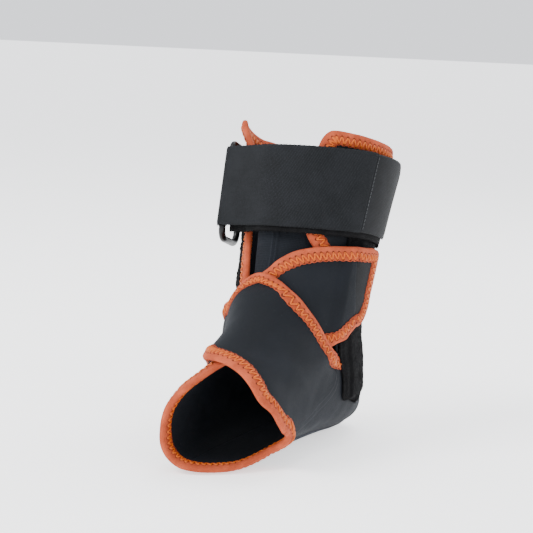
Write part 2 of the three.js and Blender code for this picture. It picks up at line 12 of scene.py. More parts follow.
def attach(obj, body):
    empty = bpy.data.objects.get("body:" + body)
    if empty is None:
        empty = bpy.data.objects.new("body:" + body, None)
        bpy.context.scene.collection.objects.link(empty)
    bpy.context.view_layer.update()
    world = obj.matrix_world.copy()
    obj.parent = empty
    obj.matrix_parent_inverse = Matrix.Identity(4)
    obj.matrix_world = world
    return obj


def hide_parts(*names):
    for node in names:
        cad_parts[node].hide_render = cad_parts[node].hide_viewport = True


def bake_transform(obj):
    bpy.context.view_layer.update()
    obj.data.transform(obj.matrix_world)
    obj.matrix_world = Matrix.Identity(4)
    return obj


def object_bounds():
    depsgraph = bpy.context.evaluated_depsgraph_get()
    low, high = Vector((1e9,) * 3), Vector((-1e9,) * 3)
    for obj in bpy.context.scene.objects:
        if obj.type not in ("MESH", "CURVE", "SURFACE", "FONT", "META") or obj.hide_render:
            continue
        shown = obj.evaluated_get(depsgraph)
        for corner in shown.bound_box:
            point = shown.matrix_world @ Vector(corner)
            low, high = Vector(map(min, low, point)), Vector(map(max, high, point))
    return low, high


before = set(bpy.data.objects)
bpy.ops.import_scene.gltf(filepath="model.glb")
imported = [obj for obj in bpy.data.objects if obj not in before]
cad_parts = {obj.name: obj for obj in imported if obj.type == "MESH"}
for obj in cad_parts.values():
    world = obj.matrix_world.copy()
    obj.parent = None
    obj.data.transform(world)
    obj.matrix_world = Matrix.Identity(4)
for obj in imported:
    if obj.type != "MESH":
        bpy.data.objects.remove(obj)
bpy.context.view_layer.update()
MM = 0.001

# ---- Dimensions shared with part.mjs ----
LEG_LEAN = np.radians(14)
ANKLE_HEIGHT = 72
NEOPRENE = 2.4
PILE = 1.2
TAPE = 0.5
CLEARANCE = 0.3
TAPE_GAP = 0.45
BINDING_RISE = TAPE + TAPE_GAP
STAY_WIDTH = 18
STAY_THICKNESS = 1.6
COVER_WIDTH = 38
WEBBING = 1.4
RING_BAR = 4.4
STRAP_TOP = 108
STRAP_BOTTOM = 57.5
STRAP_CLIMB = 4
RING_TOP = 110.5
RING_BOTTOM = 49.8
TONGUE_IN = 0
TONGUE_THICKNESS = 1.6
BODY_IN = 3.1
BODY_OUT = BODY_IN + NEOPRENE
COVER_IN = BODY_OUT + BINDING_RISE + CLEARANCE
COVER_CROWN_IN = COVER_IN + STAY_THICKNESS + CLEARANCE
OVER_BODY_IN = COVER_IN + BINDING_RISE
OVER_WING_IN = OVER_BODY_IN + 0.7
OVER_COVER_IN = COVER_CROWN_IN + PILE + TAPE_GAP + BINDING_RISE + 0.25
RUN_OVER_COVER = COVER_CROWN_IN + PILE + CLEARANCE + WEBBING / 2
RUN_OVER_BODY = COVER_IN + WEBBING / 2
RUN_STEP = WEBBING + 2 * CLEARANCE

# ---- Dimensions of the visible detail ----
TAPE_REACH = 8.0  # of the folded tape in from the panel's edge
EDGE_DIP = 0.5  # of a panel's face under its tape
PUCKER = 0.16  # height of the tape's puckers
THREAD_PULL = 0.2  # depth to which the thread pulls the tape
STITCH_PITCH = 4.1
STITCH_OUTER = 2.5  # of the zigzag's corners from the panel's edge
STITCH_INNER = 7.0
THREAD = 0.55  # radius
RING_GAP = 0.9  # between the rings of a tape or the rows of a strip
SEAM_STITCH = 1.3  # length along a flat seam
WEAVE_GAP = 0.8  # between the rows of a strap


def smooth(x, start, end):
    """Eases from 0 to 1 as x goes from start to end, which may be the lower one."""
    f = np.clip((np.asarray(x, float) - start) / (end - start), 0, 1)
    return f * f * (3 - 2 * f)


# ---- The form ----
LEG_AXIS = np.array([np.sin(LEG_LEAN), np.cos(LEG_LEAN)])
LEG_FRONT = np.array([-LEG_AXIS[1], LEG_AXIS[0]])


def leg_point(height, forward):
    return np.array([0, ANKLE_HEIGHT]) + LEG_AXIS * height + LEG_FRONT * forward


def leg_section(height, front, back, half_width, shift):
    return [*leg_point(height, front), *leg_point(height, -back), half_width, 0.5, 2, shift, 0]


# front y, z, back y, z, half width, where it is widest, squareness of the back, shift in x, arch
SECTIONS = np.array([
    leg_section(122, 42, 41, 40, 2),
    leg_section(85, 41, 40, 36.5, 1),
    leg_section(50, 40, 38, 32.5, 1),
    leg_section(20, 42, 38, 31, 0.5),
    [-46, 91, 52, 50, 30.5, 0.52, 2, 0, 0],
    [-54, 83, 58, 13, 31, 0.55, 3, 0, 1],
    [-63, 76, 35, 4.5, 30.5, 0.6, 3.3, -0.5, 4],
    [-76, 68, -18, 4.5, 29, 0.62, 3, -2.5, 8],
    [-90, 61, -62, 6, 28, 0.62, 3, -4, 8],
    [-105, 54, -104, 6.6, 29, 0.62, 3, -5, 6],
    [-120, 48, -120, 6.6, 30, 0.62, 3, -6, 4],
])


def sections_at(t):
    """Sections at stations t, by a Catmull-Rom blend of their neighbours."""
    last = len(SECTIONS) - 1
    i = np.clip(np.floor(t).astype(int), 0, last - 1)
    f = (t - i)[..., None]
    b, c = SECTIONS[i], SECTIONS[i + 1]
    a = np.where((i > 0)[..., None], SECTIONS[np.maximum(i - 1, 0)], 2 * b - c)
    d = np.where((i < last - 1)[..., None], SECTIONS[np.minimum(i + 2, last)], 2 * c - b)
    curve = f * f * (2 * a - 5 * b + 4 * c - d) + f**3 * (3 * b - 3 * c + d - a)
    return b + 0.5 * (f * (c - a) + curve)


def form_points(p):
    """Points of the form at p = [..., (t, turn)]; turn is 0 in front and 90 on the medial side."""
    fy, fz, by, bz, half, widest, square, shift, arch = np.moveaxis(sections_at(p[..., 0]), -1, 0)
    c, s = np.cos(np.radians(p[..., 1])), np.sin(np.radians(p[..., 1]))
    power = np.where(c >= 0, 2.0, square)
    reach = (np.abs(s) ** power + np.abs(c) ** power) ** (-1 / power)
    mid_y, mid_z = fy + (by - fy) * widest, fz + (bz - fz) * widest
    end_y, end_z = np.where(c >= 0, fy, by), np.where(c >= 0, fz, bz)
    lift = arch * 4 * np.maximum(s, 0) ** 2 * np.maximum(-c, 0) ** 2
    y = mid_y + (end_y - mid_y) * np.abs(c) * reach
    z = mid_z + (end_z - mid_z) * np.abs(c) * reach + lift
    return np.stack([half * s * reach + shift, y, z], -1)


def unit(v):
    return v / np.maximum(np.linalg.norm(v, axis=-1, keepdims=True), 1e-12)


def form_frame(p):
    """Partial derivatives and outward normal of the form."""
    dt, dturn = np.array([0.002, 0]), np.array([0, 0.05])
    along_t = (form_points(p + dt) - form_points(p - dt)) / (2 * dt[0])
    along_turn = (form_points(p + dturn) - form_points(p - dturn)) / (2 * dturn[1])
    return along_t, along_turn, unit(np.cross(along_t, along_turn))


def soft_folds(q, p):
    """Low creases in mm that all layers share, faded out under the strap and the sole."""
    rng = np.random.default_rng(11)
    total = 0
    for size, height in ((52, 0.26), (30, 0.2), (17, 0.1)):
        for _ in range(4):
            direction = unit(rng.normal(size=3)) * 2 * np.pi / size
            drift = unit(rng.normal(size=3)) * 2 * np.pi / (2.3 * size)
            phases = rng.uniform(0, 2 * np.pi, 2)
            warp = 1.5 * np.sin(q @ drift + phases[0])
            total = total + height * np.sin(q @ direction + warp + phases[1]) / 1.6
    return total * smooth(p[..., 0], 1.9, 3.2) * smooth(q[..., 2], 9, 26)


def layer(p, out):
    """Points at a distance out from the form. The heel stands flat on z = 0."""
    base = form_points(p)
    normal = form_frame(p)[2]
    q = base + normal * (out + soft_folds(base, p))[..., None]
    q[..., 2] = np.maximum(q[..., 2], BODY_OUT - np.minimum(out, BODY_OUT))
    return q


# ---- Curves on the form ----
def catmull_rom(points, count):
    """count + 1 points of a centripetal Catmull-Rom curve through points."""
    pts = np.vstack([2 * points[0] - points[1], points, 2 * points[-1] - points[-2]])
    out = []
    for k in range(count + 1):
        x = (len(points) - 1) * k / count
        i = min(int(x), len(points) - 2)
        w = x - i
        p0, p1, p2, p3 = pts[i : i + 4]
        d0, d1, d2 = (np.linalg.norm(b - a) ** 0.5 for a, b in ((p0, p1), (p1, p2), (p2, p3)))
        m1 = ((p1 - p0) / d0 - (p2 - p0) / (d0 + d1) + (p2 - p1) / d1) * d1
        m2 = ((p2 - p1) / d1 - (p3 - p1) / (d1 + d2) + (p3 - p2) / d2) * d1
        a2 = -3 * p1 + 3 * p2 - 2 * m1 - m2
        a3 = 2 * p1 - 2 * p2 + m1 + m2
        out.append(p1 + m1 * w + a2 * w**2 + a3 * w**3)
    return np.array(out)


def lengths(points):
    """Distance along a polyline to each of its points."""
    gaps = np.linalg.norm(np.diff(points, axis=0), axis=1)
    return np.concatenate([[0], np.cumsum(gaps)])


def resample(path, at, length):
    """Values of path at the distances `at`, given the distance to each of its points."""
    return np.stack([np.interp(at, length, path[:, k]) for k in range(path.shape[1])], -1)


def edge(keys, steps):
    """steps + 1 points [t, turn], evenly spaced over the form along a smooth curve."""
    scale = np.array([1, 50])
    fine = catmull_rom(np.array(keys, float) / scale, 12 * len(keys)) * scale
    length = lengths(form_points(fine))
    return resample(fine, np.linspace(0, length[-1], steps + 1), length)


def evenly(path, gap, surface=form_points):
    """The path with its points about gap mm apart on a surface, and the distance to each."""
    length = lengths(surface(path))
    at = np.linspace(0, length[-1], max(int(round(length[-1] / gap)), 1) + 1)
    return resample(path, at, length), at


def tangents(points):
    return unit(np.gradient(points, axis=0))


def blurred(directions, spread):
    """Directions averaged over spread points on each side, so that they turn evenly round a corner."""
    kernel = np.hanning(2 * spread + 3)[1:-1]
    padded = np.pad(directions, ((spread, spread), (0, 0)), mode="edge")
    return unit(np.stack([np.convolve(padded[:, k], kernel, "valid") for k in range(3)], -1))


def aside(path, mm, ahead=None, steps=3):
    """Moves each point of a path sideways over the form, to the left seen from outside."""
    p = path.copy()
    if ahead is None:
        ahead = tangents(form_points(path))
    for _ in range(steps):
        along_t, along_turn, normal = form_frame(p)
        side = unit(np.cross(normal, ahead))
        a = (along_t * along_t).sum(-1)
        b = (along_t * along_turn).sum(-1)
        c = (along_turn * along_turn).sum(-1)
        u = (side * along_t).sum(-1)
        v = (side * along_turn).sum(-1)
        det = a * c - b * b
        step = np.stack([(c * u - b * v) / det, (a * v - b * u) / det], -1)
        p = p + step * (np.asarray(mm) / steps)[..., None]
    return p


def between(curve_a, curve_b, across):
    f = np.linspace(0, 1, across + 1)[None, :, None]
    return curve_a[:, None] * (1 - f) + curve_b[:, None] * f


# ---- Meshes ----
def make(name, points, faces, material, uv=None):
    """A smooth-shaded mesh from points in mm, with UVs in mm."""
    mesh = bpy.data.meshes.new(name)
    mesh.from_pydata((np.asarray(points) * MM).tolist(), [], [list(map(int, f)) for f in faces])
    if uv is not None:
        layer_uv = mesh.uv_layers.new(name="cloth")
        index = np.empty(len(mesh.loops), int)
        mesh.loops.foreach_get("vertex_index", index)
        layer_uv.data.foreach_set("uv", np.asarray(uv, float)[index].astype(np.float32).ravel())
    mesh.materials.append(material)
    mesh.shade_smooth()
    piece = bpy.data.objects.new(name, mesh)
    bpy.context.scene.collection.objects.link(piece)
    return piece


def fix_normals(piece):
    """Turns all faces out if the mesh's signed volume is negative."""
    mesh = piece.data
    mesh.calc_loop_triangles()
    tri = np.empty(len(mesh.loop_triangles) * 3, int)
    mesh.loop_triangles.foreach_get("vertices", tri)
    co = np.empty(len(mesh.vertices) * 3)
    mesh.vertices.foreach_get("co", co)
    a, b, c = np.moveaxis(co.reshape(-1, 3)[tri.reshape(-1, 3)], 1, 0)
    if (a * np.cross(b, c)).sum() < 0:
        mesh.flip_normals()


def grid_faces(rows, columns, start=0, flip=False, wrap=False):
    i, j = np.meshgrid(np.arange(rows - 1), np.arange(columns if wrap else columns - 1), indexing="ij")
    k = (j + 1) % columns
    quads = [i * columns + j, i * columns + k, (i + 1) * columns + k, (i + 1) * columns + j]
    faces = np.stack([q.ravel() for q in quads], -1) + start
    return faces[:, ::-1] if flip else faces


def solid_between(name, low, high, material, uv, bulge=0.35):
    """A closed sheet between two grids of points, its rim rounded out by bulge times its thickness."""
    rows, columns = low.shape[:2]
    n = rows * columns
    loop = [(0, j) for j in range(columns)]
    loop += [(i, columns - 1) for i in range(1, rows)]
    loop += [(rows - 1, j) for j in range(columns - 2, -1, -1)]
    loop += [(i, 0) for i in range(rows - 2, 0, -1)]
    r, c = np.array(loop).T
    in_r = np.clip(r, 1, rows - 2)
    in_c = np.clip(c, 1, columns - 2)
    middle = (low + high) / 2
    outward = unit(middle[r, c] - middle[in_r, in_c])
    thickness = np.linalg.norm(high[r, c] - low[r, c], axis=-1, keepdims=True)
    rim = middle[r, c] + outward * thickness * bulge
    points = np.vstack([low.reshape(-1, 3), high.reshape(-1, 3), rim])
    faces = [grid_faces(rows, columns), grid_faces(rows, columns, n, flip=True)]
    here = r * columns + c
    there = np.roll(here, -1)
    ring = 2 * n + np.arange(len(here))
    next_ring = np.roll(ring, -1)
    faces.append(np.stack([there, here, ring, next_ring], -1))
    faces.append(np.stack([next_ring, ring, here + n, there + n], -1))
    flat = uv.reshape(-1, 2)
    piece = make(name, points, np.vstack(faces), material, np.vstack([flat, flat, uv[r, c]]))
    fix_normals(piece)
    return piece


def cloth_uv(points):
    """UVs in mm: distance along the middle column, and distance across each row."""
    middle = points[:, points.shape[1] // 2]
    u = lengths(middle)
    gaps = np.linalg.norm(np.diff(points, axis=1), axis=-1)
    v = np.concatenate([np.zeros((len(points), 1)), np.cumsum(gaps, axis=1)], 1)
    v -= v[:, [v.shape[1] // 2]]
    return np.stack([np.broadcast_to(u[:, None], v.shape), v], -1)


def panel(name, rows, inner, material, bound, crown=0.0):
    """A sheet over rows of [t, turn]. Its face dips by the edges in bound: first, last, start, end."""
    base = form_points(rows)
    sides = {"first": base[:, :1], "last": base[:, -1:], "start": base[:1], "end": base[-1:]}
    away = np.min([np.linalg.norm(base - sides[side], axis=-1) for side in bound], axis=0)
    dip = EDGE_DIP * np.exp(-((away / (TAPE_REACH + 1.2)) ** 4))
    swell = crown * smooth(away, TAPE_REACH - 1, TAPE_REACH + 6)
    floor = inner(rows[..., 0], rows[..., 1])
    low = layer(rows, floor)
    high = layer(rows, floor + NEOPRENE - dip + swell)
    return solid_between(name, low, high, material, cloth_uv(high))


def tube(points, radius, sides, closed=False):
    """Points and faces of a round bar along points."""
    n = len(points)
    if closed:
        ahead = unit(np.roll(points, -1, 0) - np.roll(points, 1, 0))
    else:
        ahead = tangents(points)
    across = np.zeros_like(points)
    side = np.array([0.31, 0.44, 0.84])  # any direction that no bar starts along
    for i in range(n):
        side = side - ahead[i] * (side @ ahead[i])
        side = side / np.linalg.norm(side)
        across[i] = side
    up = np.cross(ahead, across)
    a = np.linspace(0, 2 * np.pi, sides, endpoint=False)
    ring = across[:, None] * np.cos(a)[None, :, None] + up[:, None] * np.sin(a)[None, :, None]
    rings = points[:, None] + ring * radius
    faces = grid_faces(n, sides, wrap=True).tolist()
    last = (n - 1) * sides
    if closed:
        faces += [[last + j, last + (j + 1) % sides, (j + 1) % sides, j] for j in range(sides)]
    else:
        faces += [list(range(sides))[::-1], list(range(last, last + sides))]
    return rings.reshape(-1, 3), faces


def joined(name, parts, material):
    """One mesh from several (points, faces)."""
    points, faces, start = [], [], 0
    for pts, fcs in parts:
        points.append(pts)
        faces += [[v + start for v in f] for f in fcs]
        start += len(pts)
    return make(name, np.vstack(points), faces, material)


# ---- Materials ----
def srgb(r, g, b):
    c = np.array([r, g, b]) / 255
    linear = np.where(c <= 0.04045, c / 12.92, ((c + 0.055) / 1.055) ** 2.4)
    return (*linear.tolist(), 1)


class Nodes:
    """Builds one node material. Sizes are in mm."""

    def __init__(self, name, roughness=0.8, sheen=0.0, sheen_tint=(255, 255, 255), specular=0.12):
        self.material = bpy.data.materials.new(name)
        self.material.use_nodes = True
        self.tree = self.material.node_tree
        self.shader = self.tree.nodes["Principled BSDF"]
        self.shader.inputs["Roughness"].default_value = roughness
        self.shader.inputs["Specular IOR Level"].default_value = specular
        self.shader.inputs["Sheen Weight"].default_value = sheen
        self.shader.inputs["Sheen Roughness"].default_value = 0.5
        self.shader.inputs["Sheen Tint"].default_value = srgb(*sheen_tint)
        self.bump = None

    def add(self, kind, **values):
        node = self.tree.nodes.new(kind)
        for key, value in values.items():
            setattr(node, key, value)
        return node

    def link(self, output, target):
        self.tree.links.new(output, target)

    def set(self, node, name, value):
        if isinstance(value, bpy.types.NodeSocket):
            self.link(value, node.inputs[name])
        else:
            node.inputs[name].default_value = value

    def math(self, operation, a, b=0.0, c=0.0):
        node = self.add("ShaderNodeMath", operation=operation)
        for i, value in enumerate((a, b, c)):
            self.set(node, i, value)
        return node.outputs[0]

    def position(self):
        """Position on the object in mm."""
        node = self.add("ShaderNodeVectorMath", operation="SCALE")
        self.link(self.add("ShaderNodeTexCoord").outputs["Object"], node.inputs[0])
        node.inputs["Scale"].default_value = 1 / MM
        return node.outputs[0]

    def cloth(self):
        """Distance along and across the cloth in mm."""
        split = self.add("ShaderNodeSeparateXYZ")
        self.link(self.add("ShaderNodeUVMap", uv_map="cloth").outputs[0], split.inputs[0])
        return split.outputs[0], split.outputs[1]

    def noise(self, size, detail=2.0, rough=0.5):
        node = self.add("ShaderNodeTexNoise")
        self.link(self.position(), node.inputs["Vector"])
        self.set(node, "Scale", 1 / size)
        self.set(node, "Detail", detail)
        self.set(node, "Roughness", rough)
        return node.outputs[0]

    def wave(self, x, pitch, phase=0.0):
        """0 to 1, once per pitch mm of x."""
        turned = self.math("MULTIPLY_ADD", x, 2 * np.pi / pitch, phase)
        return self.math("MULTIPLY_ADD", self.math("SINE", turned), 0.5, 0.5)

    def ramp(self, value, low, high, start=0.0, end=1.0):
        node = self.add("ShaderNodeMapRange", interpolation_type="SMOOTHSTEP")
        sockets = {"Value": value, "From Min": low, "From Max": high, "To Min": start, "To Max": end}
        for name, v in sockets.items():
            self.set(node, name, v)
        return node.outputs[0]

    def mixed(self, factor, a, b):
        node = self.add("ShaderNodeMix", data_type="RGBA")
        self.set(node, 0, factor)
        self.set(node, 6, a)
        self.set(node, 7, b)
        return node.outputs[2]

    def mottled(self, size, detail, low, high, dark, light):
        """A colour that wanders between dark and light in patches of size mm."""
        return self.mixed(self.ramp(self.noise(size, detail), low, high), srgb(*dark), srgb(*light))

    def tinted(self, base, factor, amount, tint):
        """The colour base, taken towards tint by factor times amount."""
        return self.mixed(self.math("MULTIPLY", factor, amount), base, srgb(*tint))

    def raise_by(self, height, mm, strength=1.0):
        """Adds a bump whose full height is mm."""
        node = self.add("ShaderNodeBump")
        self.link(height, node.inputs["Height"])
        node.inputs["Distance"].default_value = mm * MM
        node.inputs["Strength"].default_value = strength
        if self.bump:
            self.link(self.bump, node.inputs["Normal"])
        self.bump = node.outputs[0]
        self.link(self.bump, self.shader.inputs["Normal"])

    def color(self, value):
        self.set(self.shader, "Base Color", value)

    def rough(self, value):
        self.set(self.shader, "Roughness", value)


def neoprene_material():
    m = Nodes("neoprene", 0.62, 0.02, (150, 165, 195), specular=0.14)
    fine = m.noise(0.55, 3, 0.7)
    u, v = m.cloth()
    knit = m.math("MULTIPLY", m.wave(u, 0.62), m.wave(v, 0.5))
    base = m.mottled(34, 3, 0.35, 0.7, (12, 15, 19), (17, 20, 25))
    base = m.tinted(base, m.ramp(fine, 0.5, 0.8), 0.45, (29, 34, 42))
    lint = m.ramp(m.noise(1.7, 1, 0.5), 0.76, 0.8)
    m.color(m.tinted(base, lint, 0.25, (72, 75, 79)))
    m.rough(m.ramp(fine, 0.2, 0.8, 0.62, 0.84))
    m.raise_by(m.noise(9, 3), 0.35, 0.5)
    m.raise_by(fine, 0.1, 0.6)
    m.raise_by(knit, 0.07, 0.7)
    return m.material


def lining_material():
    m = Nodes("lining_knit", 0.85, 0.03, (150, 165, 195))
    u, v = m.cloth()
    base = m.mottled(20, 2, 0.3, 0.7, (13, 15, 19), (18, 21, 26))
    m.color(m.tinted(base, m.wave(u, 1.1), 0.3, (28, 32, 38)))
    m.raise_by(m.math("MULTIPLY", m.wave(u, 1.1), m.wave(v, 0.9)), 0.15, 0.8)
    m.raise_by(m.noise(5, 3), 0.3, 0.5)
    return m.material


def tape_material():
    """Terracotta tape: ribbed knit, with painted shade over the stitched band and dots of painted shade
    where the zigzag's needle goes in. v is mm from the edge.
    """
    m = Nodes("binding_tape", 0.8)
    u, v = m.cloth()
    base = m.mottled(7, 3, 0.3, 0.75, (148, 62, 36), (176, 80, 50))
    fine = m.noise(0.5, 2, 0.7)
    base = m.tinted(base, m.ramp(fine, 0.45, 0.75), 0.35, (196, 104, 70))
    base = m.tinted(base, m.wave(v, 0.8), 0.16, (130, 55, 34))
    face = m.math("ABSOLUTE", v)
    # Painted shade: the stitched band is darkened as if shaded in the puckers between the stitches, which
    # leaves the smooth outer strip lighter.
    stitch_band_shade = m.math("MULTIPLY", m.ramp(face, STITCH_OUTER - 0.7, STITCH_OUTER + 0.2), m.ramp(face, 8.2, 7.4))
    base = m.tinted(base, stitch_band_shade, 0.5, (128, 50, 22))
    for at, phase in ((STITCH_OUTER, 0.0), (STITCH_INNER, 0.5)):
        turned = m.math("FRACT", m.math("MULTIPLY_ADD", u, 1 / STITCH_PITCH, 0.5 + phase))
        du = m.math("MULTIPLY", m.math("SUBTRACT", turned, 0.5), STITCH_PITCH)
        dv = m.math("SUBTRACT", face, at)
        far = m.math("SQRT", m.math("ADD", m.math("POWER", du, 2), m.math("POWER", dv, 2)))
        # Painted shade: a dark dot where shade falls into each needle hole.
        needle_hole_shade = m.ramp(far, 0.45, 1.15, 0.95, 0.0)
        base = m.mixed(needle_hole_shade, base, srgb(70, 24, 14))
        m.raise_by(m.ramp(far, 0.2, 1.0), 0.35, 0.8)
    m.color(base)
    m.raise_by(m.wave(v, 0.8), 0.08, 0.6)
    m.raise_by(fine, 0.1, 0.6)
    return m.material


def thread_material(name, low, high):
    m = Nodes(name, 0.5, specular=0.3)
    twist = m.noise(0.35, 1)
    m.color(m.mixed(m.ramp(twist, 0.35, 0.65), srgb(*low), srgb(*high)))
    m.raise_by(twist, 0.08, 0.7)
    return m.material


def webbing_material():
    """Loop-faced strap: fine diagonal rows of short loops."""
    m = Nodes("webbing", 0.9, 0.02, (170, 178, 188))
    u, v = m.cloth()
    diagonal = m.math("ADD", u, m.math("MULTIPLY", v, 0.55))
    other = m.math("SUBTRACT", v, m.math("MULTIPLY", u, 0.3))
    loops = m.math("MULTIPLY", m.wave(diagonal, 0.95), m.wave(other, 0.7))
    speck = m.noise(0.55, 3, 0.8)
    both = m.math("MULTIPLY_ADD", loops, 0.5, m.math("MULTIPLY", speck, 0.7))
    base = m.mottled(14, 3, 0.3, 0.7, (14, 15, 16), (20, 21, 23))
    m.color(m.tinted(base, m.ramp(both, 0.42, 0.9), 0.7, (58, 61, 65)))
    m.raise_by(both, 0.22, 0.8)
    return m.material


def pile_material():
    m = Nodes("pile", 0.97, 0.02, (110, 110, 115))
    loops = m.noise(0.75, 3, 0.7)
    base = m.mottled(6, 3, 0.35, 0.7, (9, 9, 10), (16, 16, 17))
    m.color(m.tinted(base, m.ramp(loops, 0.5, 0.75), 0.5, (34, 34, 36)))
    m.raise_by(loops, 0.5, 1.0)
    return m.material


def hook_material():
    """Moulded hook tab backed with a tight knit."""
    m = Nodes("hook_tape", 0.7)
    u, v = m.cloth()
    base = m.mottled(8, 3, 0.3, 0.7, (15, 16, 17), (21, 22, 24))
    knit = m.math("MULTIPLY", m.wave(u, 0.8), m.wave(v, 0.8))
    m.color(m.tinted(base, knit, 0.35, (38, 40, 43)))
    m.raise_by(knit, 0.1, 0.8)
    m.raise_by(m.noise(0.6, 2), 0.06, 0.5)
    return m.material


def plastic_material(name, color, roughness):
    m = Nodes(name, roughness, specular=0.3)
    scuff = m.noise(2.5, 4, 0.7)
    scuffed = srgb(*[min(c + 14, 255) for c in color])
    m.color(m.mixed(m.ramp(scuff, 0.55, 0.8), srgb(*color), scuffed))
    m.rough(m.ramp(scuff, 0.3, 0.8, roughness, roughness + 0.16))
    m.raise_by(m.noise(4, 2), 0.05, 0.4)
    return m.material


NEOPRENE_LOOK = neoprene_material()
LINING_LOOK = lining_material()
TAPE_LOOK = tape_material()
THREAD_LOOK = thread_material("zigzag_thread", (160, 66, 8), (198, 94, 16))
DARK_THREAD_LOOK = thread_material("seam_thread", (34, 39, 48), (56, 62, 74))
TAB_THREAD_LOOK = thread_material("tab_thread", (44, 46, 48), (70, 73, 76))
WEBBING_LOOK = webbing_material()
PILE_LOOK = pile_material()
HOOK_LOOK = hook_material()
RING_LOOK = plastic_material("ring_plastic", (5, 5, 6), 0.28)
STAY_LOOK = plastic_material("stay_plastic", (214, 215, 210), 0.38)


# ---- Layers of the panels ----
def body_inner(t, turn):
    return np.full(np.shape(t), BODY_IN)


def lateral_cuff_inner(t, turn):
    """The free corner leans out above the strap."""
    turn = np.where(turn > 180.2, turn - 360, turn)
    return BODY_IN + 6 * smooth(turn, -115, -75) * smooth(t, 0.45, -0.1) * (turn < 0)


def upper_wing_inner(t, turn):
    past = turn - (19 + 51 * smooth(t, 1.6, 4.9))
    over_cuff = (OVER_BODY_IN - BODY_IN) * smooth(past, -44, -4)
    over_stay = (OVER_COVER_IN - OVER_BODY_IN) * smooth(turn, 50, 61) * smooth(t, 4.7, 4.35)
    return BODY_IN + over_cuff + over_stay


def lower_wing_inner(t, turn):
    past_root = np.maximum(t - 5, 0)
    up = 61 - 12 * past_root
    slope = np.minimum(6 + 19 * past_root, 46)
    over_wing = (OVER_WING_IN - BODY_IN) * smooth((up + slope - turn) / slope, 0, 1)
    over_stay = (OVER_COVER_IN - OVER_WING_IN) * smooth(turn, -52, -66)
    return BODY_IN + over_wing + over_stay


def foot_inner(t, turn):
    """The layer of a path that runs from the medial side under the sole and on over the upper wing."""
    return np.where(turn < 300, BODY_IN, upper_wing_inner(t, turn - 360))


# ---- Folded binding tape and its zigzag ----
def zigzag(u):
    """Distance from the edge of the zigzag's thread at u mm along the tape."""
    f = np.abs(((u / STITCH_PITCH) % 1) * 2 - 1)
    return STITCH_INNER + (STITCH_OUTER - STITCH_INNER) * f


def tape_rise(u, a):
    """Puckers: how far the tape's face stands over its mean, pulled down along the thread."""
    pull = np.exp(-(((a - zigzag(u)) / 0.75) ** 2)) * (a > 1)
    outer_half = a < (STITCH_INNER + STITCH_OUTER) / 2
    hump = 0.5 + 0.5 * np.cos(2 * np.pi * (u / STITCH_PITCH + 0.5 * outer_half))
    inside = smooth(a, TAPE_REACH + 0.2, TAPE_REACH - 1.2)
    return PUCKER * hump * smooth(a, 0, 1.5) * inside - THREAD_PULL * pull


# Cross-section of the tape: mm in from the panel's edge, and mm over the panel's face.
PROFILE_REACH = np.array([8.0, 7.9, 7.4, 6.7, 5.9, 5.1, 4.3, 3.5, 2.7, 1.8, 0.8, 0.0, -0.5, -0.85])
PROFILE_RISE = np.array([0.1, 0.5, 0.68, 0.74, 0.78, 0.8, 0.82, 0.83, 0.83, 0.8, 0.7, 0.5, 0.1, -0.45])
NOSE = (-1.05, NEOPRENE / 2)  # where the two faces meet


def tape_grid(path, u, ahead, inner, sign):
    """Rings of the tape's cross-section along the path, and their UVs."""
    reach = np.concatenate([PROFILE_REACH, [NOSE[0]], PROFILE_REACH[::-1]])
    rise = np.concatenate([NEOPRENE + PROFILE_RISE, [NOSE[1]], (-PROFILE_RISE)[::-1]])
    face = np.concatenate([np.ones(len(PROFILE_REACH)), [0], -np.ones(len(PROFILE_REACH))])
    wander = 0.12 * np.sin(u / 5.3 + 1.2) + 0.1 * np.sin(u / 2.1 + 0.4)
    scallop = 0.3 * np.cos(2 * np.pi * u / STITCH_PITCH)
    columns, uvs = [], []
    for a, r, s in zip(reach, rise, face):
        mm = a + wander * (0.4 + 0.6 * (a > 5)) - scallop * (a > 7.5)
        p = aside(path, sign * mm, ahead)
        up = tape_rise(u, a) * s
        columns.append(layer(p, inner(p[:, 0], p[:, 1]) + r + up))
        uvs.append(np.stack([u, np.full(len(u), a)], -1))
    return np.stack(columns, 1), np.stack(uvs, 1)


def left_is_inside(path, inside):
    """1 if the panel lies to the left of the path, seen from outside, or -1."""
    k = len(path) // 2
    target = form_points(np.asarray(inside, float))
    left, right = (np.linalg.norm(form_points(aside(path, mm))[k] - target) for mm in (4.0, -4.0))
    return 1 if left < right else -1


def thread_along(path, u, ahead, start, end, inner, sign, under):
    """A zigzag of round thread on one face of the tape, dipping in at each corner."""
    step = STITCH_PITCH / 12
    at = np.arange(np.ceil((start + 0.8) / step), np.floor((end - 0.8) / step)) * step
    p = resample(path, at, u)
    a = zigzag(at)
    p = aside(p, sign * a, unit(resample(ahead, at, u)))
    leg = np.abs(np.sin(np.pi * at / (STITCH_PITCH / 2)))
    lift = 0.82 + tape_rise(at, a) + THREAD * (1.5 * np.sqrt(leg) - 0.75)
    out = -lift if under else NEOPRENE + lift
    return tube(layer(p, inner(p[:, 0], p[:, 1]) + out), THREAD, 6)


def settle(piece, body, nodes=(), across=None):
    """Hides the nodes that a piece stands for, and rides it on a body or, where
    across = (a, b, start, end) is given, bakes its transform in instead."""
    if nodes:
        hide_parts(*nodes)
    if across:
        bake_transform(piece)
    else:
        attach(piece, body)


